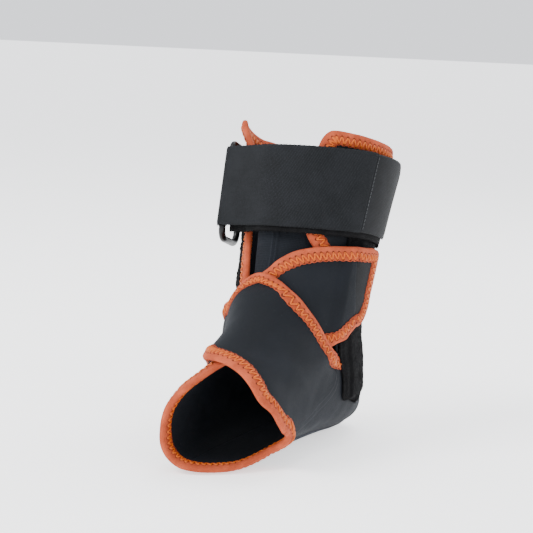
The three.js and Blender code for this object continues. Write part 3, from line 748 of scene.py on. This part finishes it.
def bind(pieces, inside, inner):
    """Folded tape along a chain of pieces, each (name, path, replaced nodes, across).

    One zigzag runs on from piece to piece. inside is a point of the panel by the chain's middle.
    """
    whole = np.vstack([piece[1][1:] if k else piece[1] for k, piece in enumerate(pieces)])
    ends = np.cumsum([len(piece[1]) - (k > 0) for k, piece in enumerate(pieces)]) - 1

    def face(p):
        return layer(p, inner(p[:, 0], p[:, 1]) + NEOPRENE)

    reached = lengths(face(whole))[ends]
    path, u = evenly(whole, RING_GAP, face)
    ahead = blurred(tangents(form_points(path)), 5)
    sign = left_is_inside(path, inside)
    grid, uv = tape_grid(path, u, ahead, inner, sign)
    columns = grid.shape[1]
    start = 0
    for (name, _, replaced, across), reach in zip(pieces, reached):
        end = int(np.argmin(np.abs(u - reach)))
        part = grid[start : end + 1]
        rows = len(part)
        faces = grid_faces(rows, columns, wrap=True).tolist()
        faces += [list(range(columns)), list(range(rows * columns - 1, (rows - 1) * columns - 1, -1))]
        tape = make(name, part.reshape(-1, 3), faces, TAPE_LOOK, uv[start : end + 1].reshape(-1, 2))
        fix_normals(tape)
        settle(tape, "brace", replaced, across)
        threads = [
            thread_along(path, u, ahead, u[start], u[end], inner, sign, under) for under in (False, True)
        ]
        settle(joined(f"{name}_zigzag", threads, THREAD_LOOK), "brace", (), across)
        start = end


# ---- Outlines ----
BACK = 179.5
ROUND_TURN = np.array([0, 360])
CUFF_SEAM_MEDIAL = 4.75
CUFF_SEAM_LATERAL = 3.1
TOP = 0.05
SOLE_FRONT_MEDIAL = 8.35
SOLE_FRONT_LATERAL = 9.5

medial_front = edge(
    [[TOP, 32], [0.07, 26.5], [0.17, 22.3], [0.32, 19.8], [0.55, 19], [1.2, 18], [1.7, 18.5], [1.92, 24],
     [2.12, 32], [2.7, 45], [3.4, 56], [4.1, 64], [CUFF_SEAM_MEDIAL, 70]],
    120,
)
medial_back = edge([[TOP, BACK], [1, BACK], [2, BACK], [3, BACK], [CUFF_SEAM_MEDIAL, BACK]], 120)
lateral_front = edge(
    [[TOP, -72], [0.07, -66], [0.18, -61.5], [0.34, -59.5], [0.55, -59], [1, -59], [1.9, -57], [2.6, -46],
     [CUFF_SEAM_LATERAL, -42]],
    90,
)
lateral_back = edge([[TOP, -BACK], [1, -BACK], [2, -BACK], [CUFF_SEAM_LATERAL, -BACK]], 90)
sole_medial = edge([[5.3, 165], [5.5, 153], [6, 146], [7, 144], [SOLE_FRONT_MEDIAL, 145]], 60)
sole_lateral = edge([[5.3, 195], [5.5, 207], [6, 214], [7, 216], [SOLE_FRONT_LATERAL, 215]], 60)
lower_wing_root = edge([[4.98, 67.6], [5.6, 73], [6.6, 82.5], [7.5, 90.5], [SOLE_FRONT_MEDIAL, 97.7]], 60)
upper_wing_root = edge([[CUFF_SEAM_LATERAL, -42], [5, -45.5], [7, -47.5], [SOLE_FRONT_LATERAL, -45.5]], 80)

wing_top = edge(
    [[CUFF_SEAM_LATERAL, -41], [2.85, -26], [2.63, -12], [2.4, 1], [2.2, 17], [2.05, 40], [1.94, 62]],
    150,
)
wing_bottom = edge(
    [[SOLE_FRONT_LATERAL, -45.5], [SOLE_FRONT_LATERAL, -35], [9.1, -29], [8.55, -20], [8.1, -10],
     [7.5, 4], [6.7, 22], [5.8, 40], [5.05, 53], [4.55, 62], [4.1, 70], [3.75, 77]],
    150,
)
upper_tab_top = edge([[1.94, 62.1], [1.93, 64.5], [1.91, 74], [1.86, 86], [1.85, 97]], 28)
upper_tab_bottom = edge([[3.75, 77.1], [3.72, 79], [3.5, 86], [3.25, 92], [3, 97]], 28)
LOWER_STEPS = 170
lower_top = edge(
    [[4.98, 67.5], [5.12, 60], [5, 53], [4.3, 39], [3.7, 24], [2.95, 6], [2.75, -12], [2.85, -24],
     [3.1, -34], [3.4, -44], [3.6, -58], [3.7, -74]],
    LOWER_STEPS,
)
lower_bottom = edge(
    [[SOLE_FRONT_MEDIAL, 97.6], [8.6, 82], [8.85, 62], [9.08, 46], [8.98, 28], [8.6, 4], [8.25, -15],
     [7.95, -28], [7.4, -40], [6.8, -56], [6.3, -74]],
    LOWER_STEPS,
)
lower_tab_top = edge([[3.7, -74.1], [3.71, -77.5], [3.77, -88], [3.9, -100], [4.1, -111]], 28)
lower_tab_bottom = edge([[6.3, -74.1], [6.25, -77.5], [5.95, -88], [5.6, -100], [5.25, -112]], 28)


def flare(p):
    """The lateral cuff's free corner flares up."""
    lift = 0.2 * smooth(p[..., 1], -104, -68) * smooth(p[..., 0], 1, TOP)
    return np.stack([p[..., 0] - lift, p[..., 1]], -1)


# ---- Tongue and body ----
def soft_sheet(piece, nodes, body="brace", across=None):
    settle(piece, body, nodes, across)


def neoprene_panel(name, rows, inner, bound, nodes, crown=0.0, across=None):
    piece = panel(name, rows, inner, NEOPRENE_LOOK, bound, crown)
    soft_sheet(piece, nodes, across=across)


def tongue_ridges(t, turn):
    """Two folds run down the lateral half of the tongue."""
    folds = ((0.9, 17, 1.5), (0.8, 11.5, 1.2))
    return sum(height * np.exp(-(((turn + at - lean * t) / 1.6) ** 2)) for height, at, lean in folds)


tongue_lateral = edge([[0.7, -40], [2, -40], [3.5, -34], [5.5, -26]], 70)
tongue_medial = edge([[0.7, 38], [2, 38], [3.5, 34], [5.5, 26]], 70)
tongue_rows = between(tongue_lateral, tongue_medial, 60)
tongue_folds = np.minimum(tongue_ridges(tongue_rows[..., 0], tongue_rows[..., 1]), 1.2)
tongue_low = layer(tongue_rows, TONGUE_IN)
tongue_high = layer(tongue_rows, TONGUE_THICKNESS - 0.2 + tongue_folds)
tongue = solid_between("tongue_pad", tongue_low, tongue_high, LINING_LOOK, cloth_uv(tongue_high), 0.5)
soft_sheet(tongue, ["tongue"])

medial_cuff_rows = between(medial_front, medial_back, 110)
lateral_cuff_rows = flare(between(lateral_front, lateral_back, 110))
front_and_top = ("first", "start")
neoprene_panel("medial_cuff_panel", medial_cuff_rows, body_inner, front_and_top, ["medial_cuff"])
neoprene_panel("lateral_cuff_panel", lateral_cuff_rows, lateral_cuff_inner, front_and_top, ["lateral_cuff"])

medial_quarter_back = np.vstack([
    edge([[CUFF_SEAM_MEDIAL, BACK], [5, BACK], [5.15, 175]], 15)[:-1],
    aside(sole_medial, -0.3),
])
medial_quarter_front = np.vstack([edge([[CUFF_SEAM_MEDIAL, 70.5], [4.95, 68.5]], 15)[:-1], lower_wing_root])
lateral_quarter_back = np.vstack([
    edge([[CUFF_SEAM_LATERAL, -BACK], [4, -BACK], [5, -BACK], [5.15, -175]], 20),
    aside(sole_lateral, 0.3)[1:] - ROUND_TURN,
])
medial_quarter_rows = between(medial_quarter_front, medial_quarter_back, 90)
lateral_quarter_rows = between(upper_wing_root, lateral_quarter_back, 110)
sole_rows = between(sole_medial, sole_lateral, 60)
for name, rows, node, flat, area in (
    ("medial_heel_panel", medial_quarter_rows, "medial_heel_quarter", (0.09, 0.13), 0.0053),
    ("lateral_heel_panel", lateral_quarter_rows, "lateral_heel_quarter", (0.11, 0.18), 0.0147),
    ("sole", sole_rows, "sole_panel", (0.06, 0.12), 0.0068),
):
    neoprene_panel(name, rows, body_inner, ("end",), [node])

# ---- Wings ----
WING_CROWN = 0.25  # of the wings' faces between their tapes
TAB_CORNER = 4.0
TAB_LENGTH = 27
CREASE_AT = 12 / 28  # where along the lower wing its free part folds back
CREASE_REACH = 5  # of the bend on each side of the crease


def crease_ends():
    """Points in metres before and after the crease."""
    at = np.array([CREASE_AT * LOWER_STEPS])
    top, bottom = (resample(c, at, np.arange(LOWER_STEPS + 1.0)) for c in (lower_top, lower_bottom))
    ends = layer(np.vstack([top, bottom]), OVER_BODY_IN)
    middle = layer((top + bottom) / 2, OVER_BODY_IN)[0]
    normal = form_frame((top + bottom) / 2)[2][0]
    direction = unit(np.cross(normal, ends[1] - ends[0]))
    if direction[0] > 0:
        direction = -direction
    return [tuple((middle + direction * s * CREASE_REACH) * MM) for s in (-1, 1)]


LOWER_BEND = ("brace", "lower_wing_flap", *crease_ends())
top_and_bottom = ("first", "last")
neoprene_panel("upper_wing_panel", between(wing_top, wing_bottom, 80), upper_wing_inner, top_and_bottom,
               ["upper_wing"], WING_CROWN)
neoprene_panel("lower_wing_panel", between(lower_top, lower_bottom, 80), lower_wing_inner, top_and_bottom,
               ["lower_wing", "lower_wing_flap"], WING_CROWN, LOWER_BEND)


def past_seam(seam, target, length):
    """Points in metres just past a tab's seam and further towards target."""
    middle = seam.mean(0)
    direction = unit(target - middle)
    reach = ((seam - middle) @ direction).max() + 0.4
    return [tuple((middle + direction * (reach + d)) * MM) for d in (0, length)]


def tab(name, top, bottom, inner, node, parent, body):
    """A hook tab with rounded free corners. Returns its outline, from the bottom edge round to the top,
    and its two bodies with two points just past its seam."""
    rows = between(top, bottom, 50)
    base = form_points(rows)
    width = np.linalg.norm(base[:, -1] - base[:, 0], axis=-1)[:, None]
    down = np.linspace(0, 1, rows.shape[1])[None, :] * width
    left = np.linalg.norm(base[-1] - base, axis=-1)
    a = np.maximum(TAB_CORNER - np.minimum(down, width - down), 0)
    pull = TAB_CORNER - np.sqrt(np.maximum(TAB_CORNER**2 - a**2, 0))
    f = smooth(left, 24, 0)[..., None] * (pull / TAB_LENGTH)[..., None]
    rows = rows + (rows[:1] - rows) * f
    piece = panel(name, rows, inner, HOOK_LOOK, ("first", "last", "end"))
    face = layer(rows, inner(rows[..., 0], rows[..., 1]))
    bend = (parent, body, *past_seam(face[0], face[-1].mean(0), 8))
    soft_sheet(piece, [node], across=bend)
    return np.vstack([rows[:, -1], rows[-1, 1:-1][::-1], rows[::-1, 0]]), bend


upper_tab_edge, UPPER_TAB_BEND = tab(
    "upper_wing_tab", upper_tab_top, upper_tab_bottom, upper_wing_inner,
    "upper_wing_hook_tab", "brace", "upper_wing_tab",
)
lower_tab_edge, LOWER_TAB_BEND = tab(
    "lower_wing_tab", lower_tab_top, lower_tab_bottom, lower_wing_inner,
    "lower_wing_hook_tab", "lower_wing_flap", "lower_wing_tab",
)

# ---- Tapes of the body and wings ----
cuff_path = np.vstack([
    medial_front[medial_front[:, 0] < 4.3][::-1],
    medial_cuff_rows[0, 1:-1],
    lateral_cuff_rows[0, ::-1][:-1] + ROUND_TURN,
    lateral_cuff_rows[:, 0] + ROUND_TURN,
])
cuff_nodes = [f"{side}_cuff_{part}_binding" for side in ("medial", "lateral") for part in ("front", "top")]
bind([("cuff_tape", cuff_path, cuff_nodes, None)], (1.5, 180), lateral_cuff_inner)

# The lower wing's tape starts a little way along it, where the foot opening's tape ends.
TAPE_START = 7
foot_path = np.vstack([
    lower_bottom[TAPE_START:0:-1],
    medial_quarter_rows[-1],
    sole_rows[-1, 1:],
    lateral_quarter_rows[-1, ::-1][1:] + ROUND_TURN,
    wing_bottom[1:] + ROUND_TURN,
])
foot_nodes = [
    "medial_foot_binding", "sole_front_binding", "lateral_foot_binding", "upper_wing_bottom_binding",
]
bind(
    [
        ("foot_opening_tape", foot_path, foot_nodes, None),
        ("upper_wing_tab_tape", upper_tab_edge + ROUND_TURN, ["upper_wing_tab_binding"], UPPER_TAB_BEND),
        ("upper_wing_top_tape", wing_top[::-1] + ROUND_TURN, ["upper_wing_top_binding"], None),
    ],
    (4.5, 370),
    foot_inner,
)
lower_top_path = np.vstack([lower_top[::-1], [[4.91, 71], [4.83, 75]]])
lower_nodes = {
    part: [f"lower_wing_{part}_binding", f"lower_wing_flap_{part}_binding"] for part in ("bottom", "top")
}
bind(
    [
        ("lower_wing_bottom_tape", lower_bottom[TAPE_START:], lower_nodes["bottom"], LOWER_BEND),
        ("lower_wing_tab_tape", lower_tab_edge, ["lower_wing_tab_binding"], LOWER_TAB_BEND),
        ("lower_wing_top_tape", lower_top_path, lower_nodes["top"], LOWER_BEND),
    ],
    (4.8, -60),
    lower_wing_inner,
)


# ---- Flat seams between the body's panels ----
def strip_grid(path, offsets, rise):
    """Grid of a strip along a path: offsets in mm to the side, rise(u, offset) in mm from the form."""
    path, u = evenly(path, RING_GAP)
    grid = [layer(aside(path, mm), rise(u, mm)) for mm in offsets]
    uv = np.stack([np.stack([u, np.full(len(u), mm)], -1) for mm in offsets], 1)
    return np.stack(grid, 1), uv


def seam(name, path, half=2.2, rise=0.3, stitched=True):
    """A flatlock seam: a low flat welt with a close row of slanting stitches over it."""
    offsets = np.linspace(-half, half, 9)
    low, uv = strip_grid(path, offsets, lambda u, mm: BODY_OUT - 0.25)
    high, _ = strip_grid(path, offsets, lambda u, mm: BODY_OUT + rise * (1 - (mm / half) ** 4))
    settle(solid_between(name, low, high, NEOPRENE_LOOK, uv, 0.1), "brace")
    if not stitched:
        return
    even, u = evenly(path, 0.7)
    legs = int(u[-1] / SEAM_STITCH)
    at = np.linspace(0.3, legs * SEAM_STITCH - 0.3, legs * 4)
    f = np.abs(((at / (2 * SEAM_STITCH)) % 1) * 2 - 1) * 2 - 1
    p = aside(resample(even, at, u), f * (half - 0.3))
    stitches = joined(f"{name}_stitches", [tube(layer(p, BODY_OUT + 0.36), 0.2, 5)], DARK_THREAD_LOOK)
    settle(stitches, "brace")


medial_across = [[CUFF_SEAM_MEDIAL, turn] for turn in (72.5, 100, 140, 179.8)]
lateral_across = [[CUFF_SEAM_LATERAL, turn] for turn in (-48, -80, -140, -179.8)]
seam("medial_cuff_seam", edge(medial_across, 60))
seam("lateral_cuff_seam", edge(lateral_across, 80))
seam("heel_seam", edge([[3.3, 180], [4.2, 180], [4.95, 180], [5.28, 180]], 40))
seam("medial_sole_seam", sole_medial[:-4])
seam("lateral_sole_seam", sole_lateral[:-4])
lower_root_line = edge([[4.98, 69.2], [5.6, 74], [6.6, 83], [7.5, 91], [8.1, 95.5]], 60)
upper_root_line = edge([[3.35, -43.5], [5, -46], [7, -48], [9.1, -46.5]], 70)
seam("lower_wing_seam", lower_root_line, 2.6, 0.12, False)
seam("upper_wing_seam", upper_root_line, 2.6, 0.12, False)

BACK_TAPE_LINE = 3.6  # of its stitches from its middle


def back_tape_rise(u, mm):
    """Pressed in along its two lines of stitches, with a low ripple along its length."""
    pressed = 0.2 * np.exp(-(((np.abs(mm) - BACK_TAPE_LINE) / 0.6) ** 2))
    return BODY_OUT + 0.75 - pressed + 0.08 * np.cos(u * 2.7)


back_path = edge([[0.32, 180], [1.5, 180], [3, 180], [4.4, 180], [4.9, 180]], 100)
back_offsets = np.linspace(-5, 5, 15)
back_low, back_uv = strip_grid(back_path, back_offsets, lambda u, mm: BODY_OUT - 0.2)
back_high, _ = strip_grid(back_path, back_offsets, back_tape_rise)
plain_uv = back_uv * np.array([1, 0]) + [0, 9]  # clear of the material's painted shade in needle holes and over the stitched band
back_tape = solid_between("back_tape", back_low, back_high, TAPE_LOOK, plain_uv, 0.2)
settle(back_tape, "brace", ["back_seam_tape"])
back_even, back_u = evenly(back_path, 0.8)
at = np.arange(1, back_u[-1] - 1, 0.35)
back_up = BODY_OUT + 0.55 + 0.3 * np.abs(np.sin(np.pi * at / 2.8))
back_points = resample(back_even, at, back_u)
back_threads = [
    tube(layer(aside(back_points, line), back_up), 0.26, 6) for line in (-BACK_TAPE_LINE, BACK_TAPE_LINE)
]
settle(joined("back_tape_stitches", back_threads, THREAD_LOOK), "brace")


# ---- Stay covers ----
def fuzz(points, normals, count, length, seed, spread=0.7, radius=0.045):
    """Short curved fibres standing on random points of a surface, each a closed sliver."""
    rng = np.random.default_rng(seed)
    pick = rng.integers(0, len(points), count)
    root = points[pick] + rng.normal(0, 0.25, (count, 3)) - normals[pick] * 0.15
    lean = unit(normals[pick] + rng.normal(0, spread, (count, 3)))
    bend = unit(rng.normal(0, 1, (count, 3)))
    size = length * rng.uniform(0.5, 1.15, (count, 1))
    across = unit(np.cross(lean, bend))
    other = np.cross(lean, across)
    middle = root + lean * size * 0.55 + bend * size * 0.08
    tip = root + lean * size + bend * size * 0.3
    corners = []
    for centre, r in ((root, radius), (middle, radius * 0.85)):
        for k in range(3):
            a = 2 * np.pi * k / 3
            corners.append(centre + (across * np.cos(a) + other * np.sin(a)) * r)
    corners.append(tip)
    verts = np.stack(corners, 1).reshape(-1, 3)
    pattern = [[0, 2, 1], [0, 1, 4, 3], [1, 2, 5, 4], [2, 0, 3, 5], [3, 4, 6], [4, 5, 6], [5, 3, 6]]
    faces = [[v + 7 * i for v in f] for i in range(count) for f in pattern]
    return verts, faces


def stay_cover(side, keys, seed):
    line = edge(keys, 150)
    n = len(line)
    end = np.minimum(np.arange(n), n - 1 - np.arange(n)) / (n - 1)
    half = COVER_WIDTH / 2 * (0.35 + 0.65 * np.sqrt(1 - (1 - np.minimum(end / 0.07, 1)) ** 2))
    crown = np.minimum(STAY_WIDTH / 2 + 0.6, half - 2)
    rng = np.random.default_rng(seed)
    f = np.linspace(-1, 1, 61)
    mm = f[None, :] * half[:, None]
    down = np.broadcast_to(lengths(form_points(line))[:, None], mm.shape)
    raised = smooth(np.abs(mm), crown[:, None] + 2.2, crown[:, None] - 0.4)
    ends = smooth(end, 0.01, 0.045)[:, None]
    from_rim = np.minimum(half[:, None] - np.abs(mm), np.minimum(down, down[-1] - down))
    sewn_down = (COVER_IN - BODY_OUT - 0.3) * smooth(from_rim, 5, 0.5)
    inside = COVER_IN + (COVER_CROWN_IN - COVER_IN) * raised * ends - sewn_down
    fluff = 0.16 * rng.standard_normal(mm.shape) + 0.12 * np.sin(down / 3.1 + 2 * np.sin(mm / 4))
    pressed = 0.45 * np.exp(-(((half[:, None] - np.abs(mm) - 2.2) / 0.8) ** 2))
    outside = inside + PILE + 0.1 + fluff - pressed
    grid = np.stack([aside(line, mm[:, j], steps=14) for j in range(mm.shape[1])], 1)
    low, high = layer(grid, inside), layer(grid, outside)
    cover = solid_between(f"{side}_pile_cover", low, high, PILE_LOOK, cloth_uv(high))
    soft_sheet(cover, [f"{side}_stay_cover"])
    normal = form_frame(grid)[2]
    strands = fuzz(high.reshape(-1, 3), normal.reshape(-1, 3), 5200, 1.0, seed + 1)
    rim = np.concatenate([high[:, 0], high[:, -1], high[0], high[-1]])
    three_in = np.concatenate([high[:, 3], high[:, -4], high[3], high[-4]])
    fringe = fuzz(rim, unit(rim - three_in), 1300, 1.1, seed + 2)
    settle(joined(f"{side}_pile_fibres", [strands, fringe], PILE_LOOK), "brace")


medial_stay_line = [[0.5, 88], [1.5, 88], [3, 89], [4.4, 92], [5.1, 95], [5.5, 100], [5.8, 106]]
lateral_stay_line = [[0.5, -92], [1.5, -92], [3, -94], [4.4, -98], [5.1, -102], [5.5, -106], [5.8, -111]]
stay_cover("medial", medial_stay_line, 21)
stay_cover("lateral", lateral_stay_line, 31)


# ---- Leg strap, keeper and ring, in planes across the leg: (x, back) ----
OUTER_BAR = np.array([-48.0, -27.0])
INNER_BAR = np.array([-51.0, 6.0])
WRAP = RING_BAR / 2 + CLEARANCE + WEBBING / 2


def in_space(p):
    """Points in space of x, back and height along the leg."""
    yz = np.array([0, ANKLE_HEIGHT]) + LEG_AXIS * p[..., 2:] - LEG_FRONT * p[..., 1:2]
    return np.concatenate([p[..., :1], yz], -1)


def station_at(height):
    low, high = -0.5, 3.0
    for _ in range(30):
        mid = (low + high) / 2
        front = sections_at(np.array(mid))
        along = front[0] * LEG_AXIS[0] + (front[1] - ANKLE_HEIGHT) * LEG_AXIS[1]
        low, high = (mid, high) if along > height else (low, mid)
    return low


def leg_ellipse(height):
    fy, fz, by, bz, half_width, _, _, shift, _ = sections_at(np.array(station_at(height)))
    front = fy * LEG_FRONT[0] + (fz - ANKLE_HEIGHT) * LEG_FRONT[1]
    back = by * LEG_FRONT[0] + (bz - ANKLE_HEIGHT) * LEG_FRONT[1]
    centre, depth = -(front + back) / 2, (front - back) / 2

    def at(turn, out):
        a = np.radians(turn)
        return np.stack([shift + (half_width + out) * np.sin(a), centre - (depth + out) * np.cos(a)], -1)

    return at


def arc(centre, radius, start, end, steps):
    a = np.radians(np.linspace(start, end, steps + 1))
    return centre + radius * np.stack([np.cos(a), np.sin(a)], -1)


def around(height, start, end, steps, out):
    """Points x, back, height round the leg, at the height that the strap has climbed to."""
    turn = np.linspace(start, end, steps + 1)
    climbed = height + STRAP_CLIMB * smooth(turn, -10, 95)
    outs = out(turn)
    flat = [leg_ellipse(h)(a, o) for h, a, o in zip(climbed, turn, outs)]
    return np.column_stack([np.array(flat), climbed])


def arc_at(height, *bend):
    flat = arc(*bend)
    return np.column_stack([flat, np.full(len(flat), height)])


def woven(name, path, top, bottom, material, round_end=0.0, groove=0.0):
    """Webbing along path(height), with soft selvedges. Returns the piece and its two faces."""
    heights = np.linspace(top, bottom, 41)
    mid = (top + bottom) / 2
    half_span = abs(top - bottom) / 2
    length = lengths(path(mid))
    at = np.linspace(0, length[-1], int(length[-1] / WEAVE_GAP) + 1)
    share = at / length[-1]
    lines = []
    for height in heights:
        line = path(height)
        own = lengths(line)
        lines.append(resample(line, share * own[-1], own))
    grid = np.stack(lines, 1)
    flat, h = grid[..., :2], grid[..., 2]
    ahead = unit(np.gradient(flat, axis=0))
    side = np.stack([-ahead[..., 1], ahead[..., 0]], -1)
    if round_end:
        left = at[-1] - at[:, None]
        shrink = round_end - np.sqrt(np.maximum(round_end**2 - np.maximum(round_end - left, 0) ** 2, 0))
        centre = h[:, [len(heights) // 2]]
        h = centre + (h - centre) * (1 - shrink / half_span)
    off_middle = heights[None, :] - mid
    from_edge = half_span - np.abs(off_middle)
    h = h + 0.12 * np.sin(at[:, None] * 2.1) * np.sign(off_middle) * (from_edge < 1)
    pinch = 0.5 * np.exp(-((from_edge / 0.9) ** 2))
    emboss = groove * np.exp(-(((from_edge - 2.2) / 0.5) ** 2))
    half = WEBBING / 2 - pinch + 0 * h
    low, high = (
        in_space(np.concatenate([flat + side * reach[..., None], h[..., None]], -1))
        for reach in (half, emboss - half)
    )
    uv = np.stack(np.broadcast_arrays(at[:, None], heights[None, :]), -1)
    return solid_between(name, low, high, material, uv, 0.3), low, high


def over_cover(turn):
    return smooth(turn, 38, 52) * smooth(turn, 132, 118)


def inner_run_out(turn):
    return RUN_OVER_BODY + (RUN_OVER_COVER - RUN_OVER_BODY) * over_cover(turn)


def outer_run_out(turn):
    return RUN_STEP + RUN_OVER_BODY + (RUN_OVER_COVER - RUN_OVER_BODY) * smooth(turn, 38, 52)


TAB_START = 63
TAB_END = 108


def inner_run(height):
    start = [OUTER_BAR[0] + WRAP + 1.5, OUTER_BAR[1] + WRAP - 1.2, height]
    return np.vstack([[start], around(height, -50, 150, 150, inner_run_out)])


def outer_run(height):
    bend = arc_at(height, OUTER_BAR, WRAP, 90, 262, 40)
    return np.vstack([bend, around(height, -24, TAB_START - 0.3, 80, outer_run_out)])


def hook_run(height):
    return around(height, TAB_START, TAB_END, 60, outer_run_out)


def keeper_out(turn):
    return RUN_OVER_BODY + (RUN_OVER_COVER - RUN_OVER_BODY) * smooth(turn, -128, -116)


def keeper_run(height):
    return np.vstack([
        around(height, -152, -104, 40, keeper_out),
        arc_at(height, INNER_BAR, WRAP, -20, -210, 45),
        around(height, -112, -150, 34, lambda turn: keeper_out(turn) + RUN_STEP),
    ])


inner_strap, inner_low, inner_high = woven(
    "strap_inner", inner_run, STRAP_TOP - 2, STRAP_BOTTOM - 3, PILE_LOOK
)
soft_sheet(inner_strap, ["strap_inner_run"])
outer_strap, outer_low, outer_high = woven("strap_outer", outer_run, STRAP_TOP, STRAP_BOTTOM, WEBBING_LOOK)
soft_sheet(outer_strap, ["strap_outer_run"], body="strap")
strap_end, _, _ = woven(
    "strap_end_tab", hook_run, STRAP_TOP - 0.6, STRAP_BOTTOM + 0.6, HOOK_LOOK, round_end=5.0, groove=0.3
)
tab_seam = np.array([in_space(hook_run(height))[0] for height in np.linspace(STRAP_TOP, STRAP_BOTTOM, 5)])
tab_middle = in_space(hook_run((STRAP_TOP + STRAP_BOTTOM) / 2))
STRAP_TAB_BEND = ("strap", "strap_tab", *past_seam(tab_seam, tab_middle[20], 6))
soft_sheet(strap_end, ["strap_hook_tab"], across=STRAP_TAB_BEND)
keeper, _, _ = woven("keeper", keeper_run, STRAP_TOP - 1.5, STRAP_BOTTOM + 1.5, WEBBING_LOOK)
soft_sheet(keeper, ["ring_keeper"])


def strap_hairs(name, edge_low, edge_high, count, length, upward, seed, body):
    """Loose fibres along a selvedge. upward is -1 on the lower one and 1 on the upper one."""
    middle = (edge_low + edge_high) / 2
    normals = np.broadcast_to(np.array([0, *(LEG_AXIS * upward)]), middle.shape)
    hairs = joined(name, [fuzz(middle, normals, count, length, seed, 0.5, 0.05)], PILE_LOOK)
    settle(hairs, body)


strap_hairs("inner_strap_hairs", inner_low[:, -1], inner_high[:, -1], 1500, 1.6, -1, 41, "brace")
strap_hairs("outer_strap_hairs", outer_low[:, -1], outer_high[:, -1], 700, 0.9, -1, 42, "strap")
strap_hairs("outer_strap_top_hairs", outer_low[:, 0], outer_high[:, 0], 500, 0.7, 1, 43, "strap")


STITCH_TURN = TAB_START + 1.4


def tab_stitch_line():
    """Threads of a row of stitches down the strap tab's near edge."""
    heights = np.linspace(STRAP_TOP - 2.2, STRAP_BOTTOM + 2.2, 20)
    bow = np.sin(np.linspace(0, np.pi, 7))
    threads = []
    for top, bottom in zip(heights[:-1], heights[1:]):
        line = []
        for height, b in zip(np.linspace(top - 0.35, bottom + 0.35, 7), bow):
            over = WEBBING / 2 + 0.25 * b - 0.1
            run = around(height, STITCH_TURN, STITCH_TURN + 1, 1, lambda turn: outer_run_out(turn) + over)
            line.append(run[0])
        threads.append(tube(in_space(np.array(line)), 0.2, 6))
    return threads


tab_stitches = joined("strap_tab_stitches", tab_stitch_line(), TAB_THREAD_LOOK)
settle(tab_stitches, "strap_tab", (), STRAP_TAB_BEND)


def ring_points():
    """Middle line of the ring: a rounded rectangle, its lower corners rounder than its upper ones."""
    across = INNER_BAR - OUTER_BAR
    width = np.linalg.norm(across)
    across = across / width
    small, large = 3, 7.5
    corners = (
        (small, RING_TOP - small, small, 90),
        (large, RING_BOTTOM + large, large, 180),
        (width - large, RING_BOTTOM + large, large, 270),
        (width - small, RING_TOP - small, small, 0),
    )
    flat = np.vstack([arc(np.array([u, h]), r, start, start + 90, 14) for u, h, r, start in corners])
    flat = np.vstack([flat, flat[:1]])
    length = lengths(flat)
    flat = resample(flat, np.linspace(0, length[-1], 161)[:-1], length)
    return in_space(np.column_stack([OUTER_BAR + across * flat[:, :1], flat[:, 1]]))


ring = joined("ring", [tube(ring_points(), RING_BAR / 2, 20, closed=True)], RING_LOOK)
fix_normals(ring)
settle(ring, "brace", ["strap_ring"])

for side in ("medial", "lateral"):
    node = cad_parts[f"{side}_stay"]
    node.data.materials.clear()
    node.data.materials.append(STAY_LOOK)


# ---- Floor, light and camera ----
def floor_material():
    m = Nodes("floor", 0.9)
    m.color(m.mixed(m.noise(60, 2), srgb(238, 238, 237), srgb(243, 243, 242)))
    m.set(m.shader, "Emission Color", srgb(250, 250, 252))
    m.set(m.shader, "Emission Strength", 1.15)
    return m.material


FLOOR_HALF = 60000
corners = [[x * FLOOR_HALF, y * FLOOR_HALF, 0] for x, y in ((-1, -1), (1, -1), (1, 1), (-1, 1))]
floor = make("floor", corners, [[0, 1, 2, 3]], floor_material())
floor.location.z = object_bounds()[0][2] - 0.0002

world = bpy.data.worlds.new("studio")
world.use_nodes = True
sky = world.node_tree.nodes["Background"]
sky.inputs["Color"].default_value = (0.93, 0.95, 1, 1)
sky.inputs["Strength"].default_value = 1.5
bpy.context.scene.world = world


def soft_light(name, place_at, target, watts, width):
    light = bpy.data.lights.new(name, "AREA")
    light.energy = watts
    light.size = width
    lamp = bpy.data.objects.new(name, light)
    lamp.location = place_at
    aim = Vector(target) - Vector(place_at)
    lamp.rotation_euler = aim.to_track_quat("-Z", "Y").to_euler()
    bpy.context.scene.collection.objects.link(lamp)


centre = (0, 0, 0.1)
soft_light("key", (-0.9, -1.1, 1.3), centre, 34, 0.9)
soft_light("fill", (1.3, -0.7, 0.8), centre, 4, 1.0)
soft_light("top", (0.1, 0.5, 1.6), centre, 14, 1.0)
soft_light("rim", (0.8, 1.2, 0.7), centre, 8, 0.8)

AZIMUTH, ELEVATION, ROLL = np.radians([21, 8, 2.6])
right = np.array([np.cos(AZIMUTH), np.sin(AZIMUTH), 0])
level = np.array([np.sin(AZIMUTH), -np.cos(AZIMUTH), 0])
back = level * np.cos(ELEVATION) + np.array([0, 0, np.sin(ELEVATION)])
up = np.cross(back, right)
across = np.cos(ROLL) * right + np.sin(ROLL) * up
upright = np.cos(ROLL) * up - np.sin(ROLL) * right
target = np.array([-0.0215, 0, 0.109])
lens = bpy.data.cameras.new("camera")
lens.sensor_width = 36
lens.lens = 105.77
lens.clip_start = 0.05
camera = bpy.data.objects.new("camera", lens)
pose = np.eye(4)
pose[:3] = np.column_stack([across, upright, back, target + back])
camera.matrix_world = Matrix(pose.tolist())
bpy.context.scene.collection.objects.link(camera)
bpy.context.scene.camera = camera
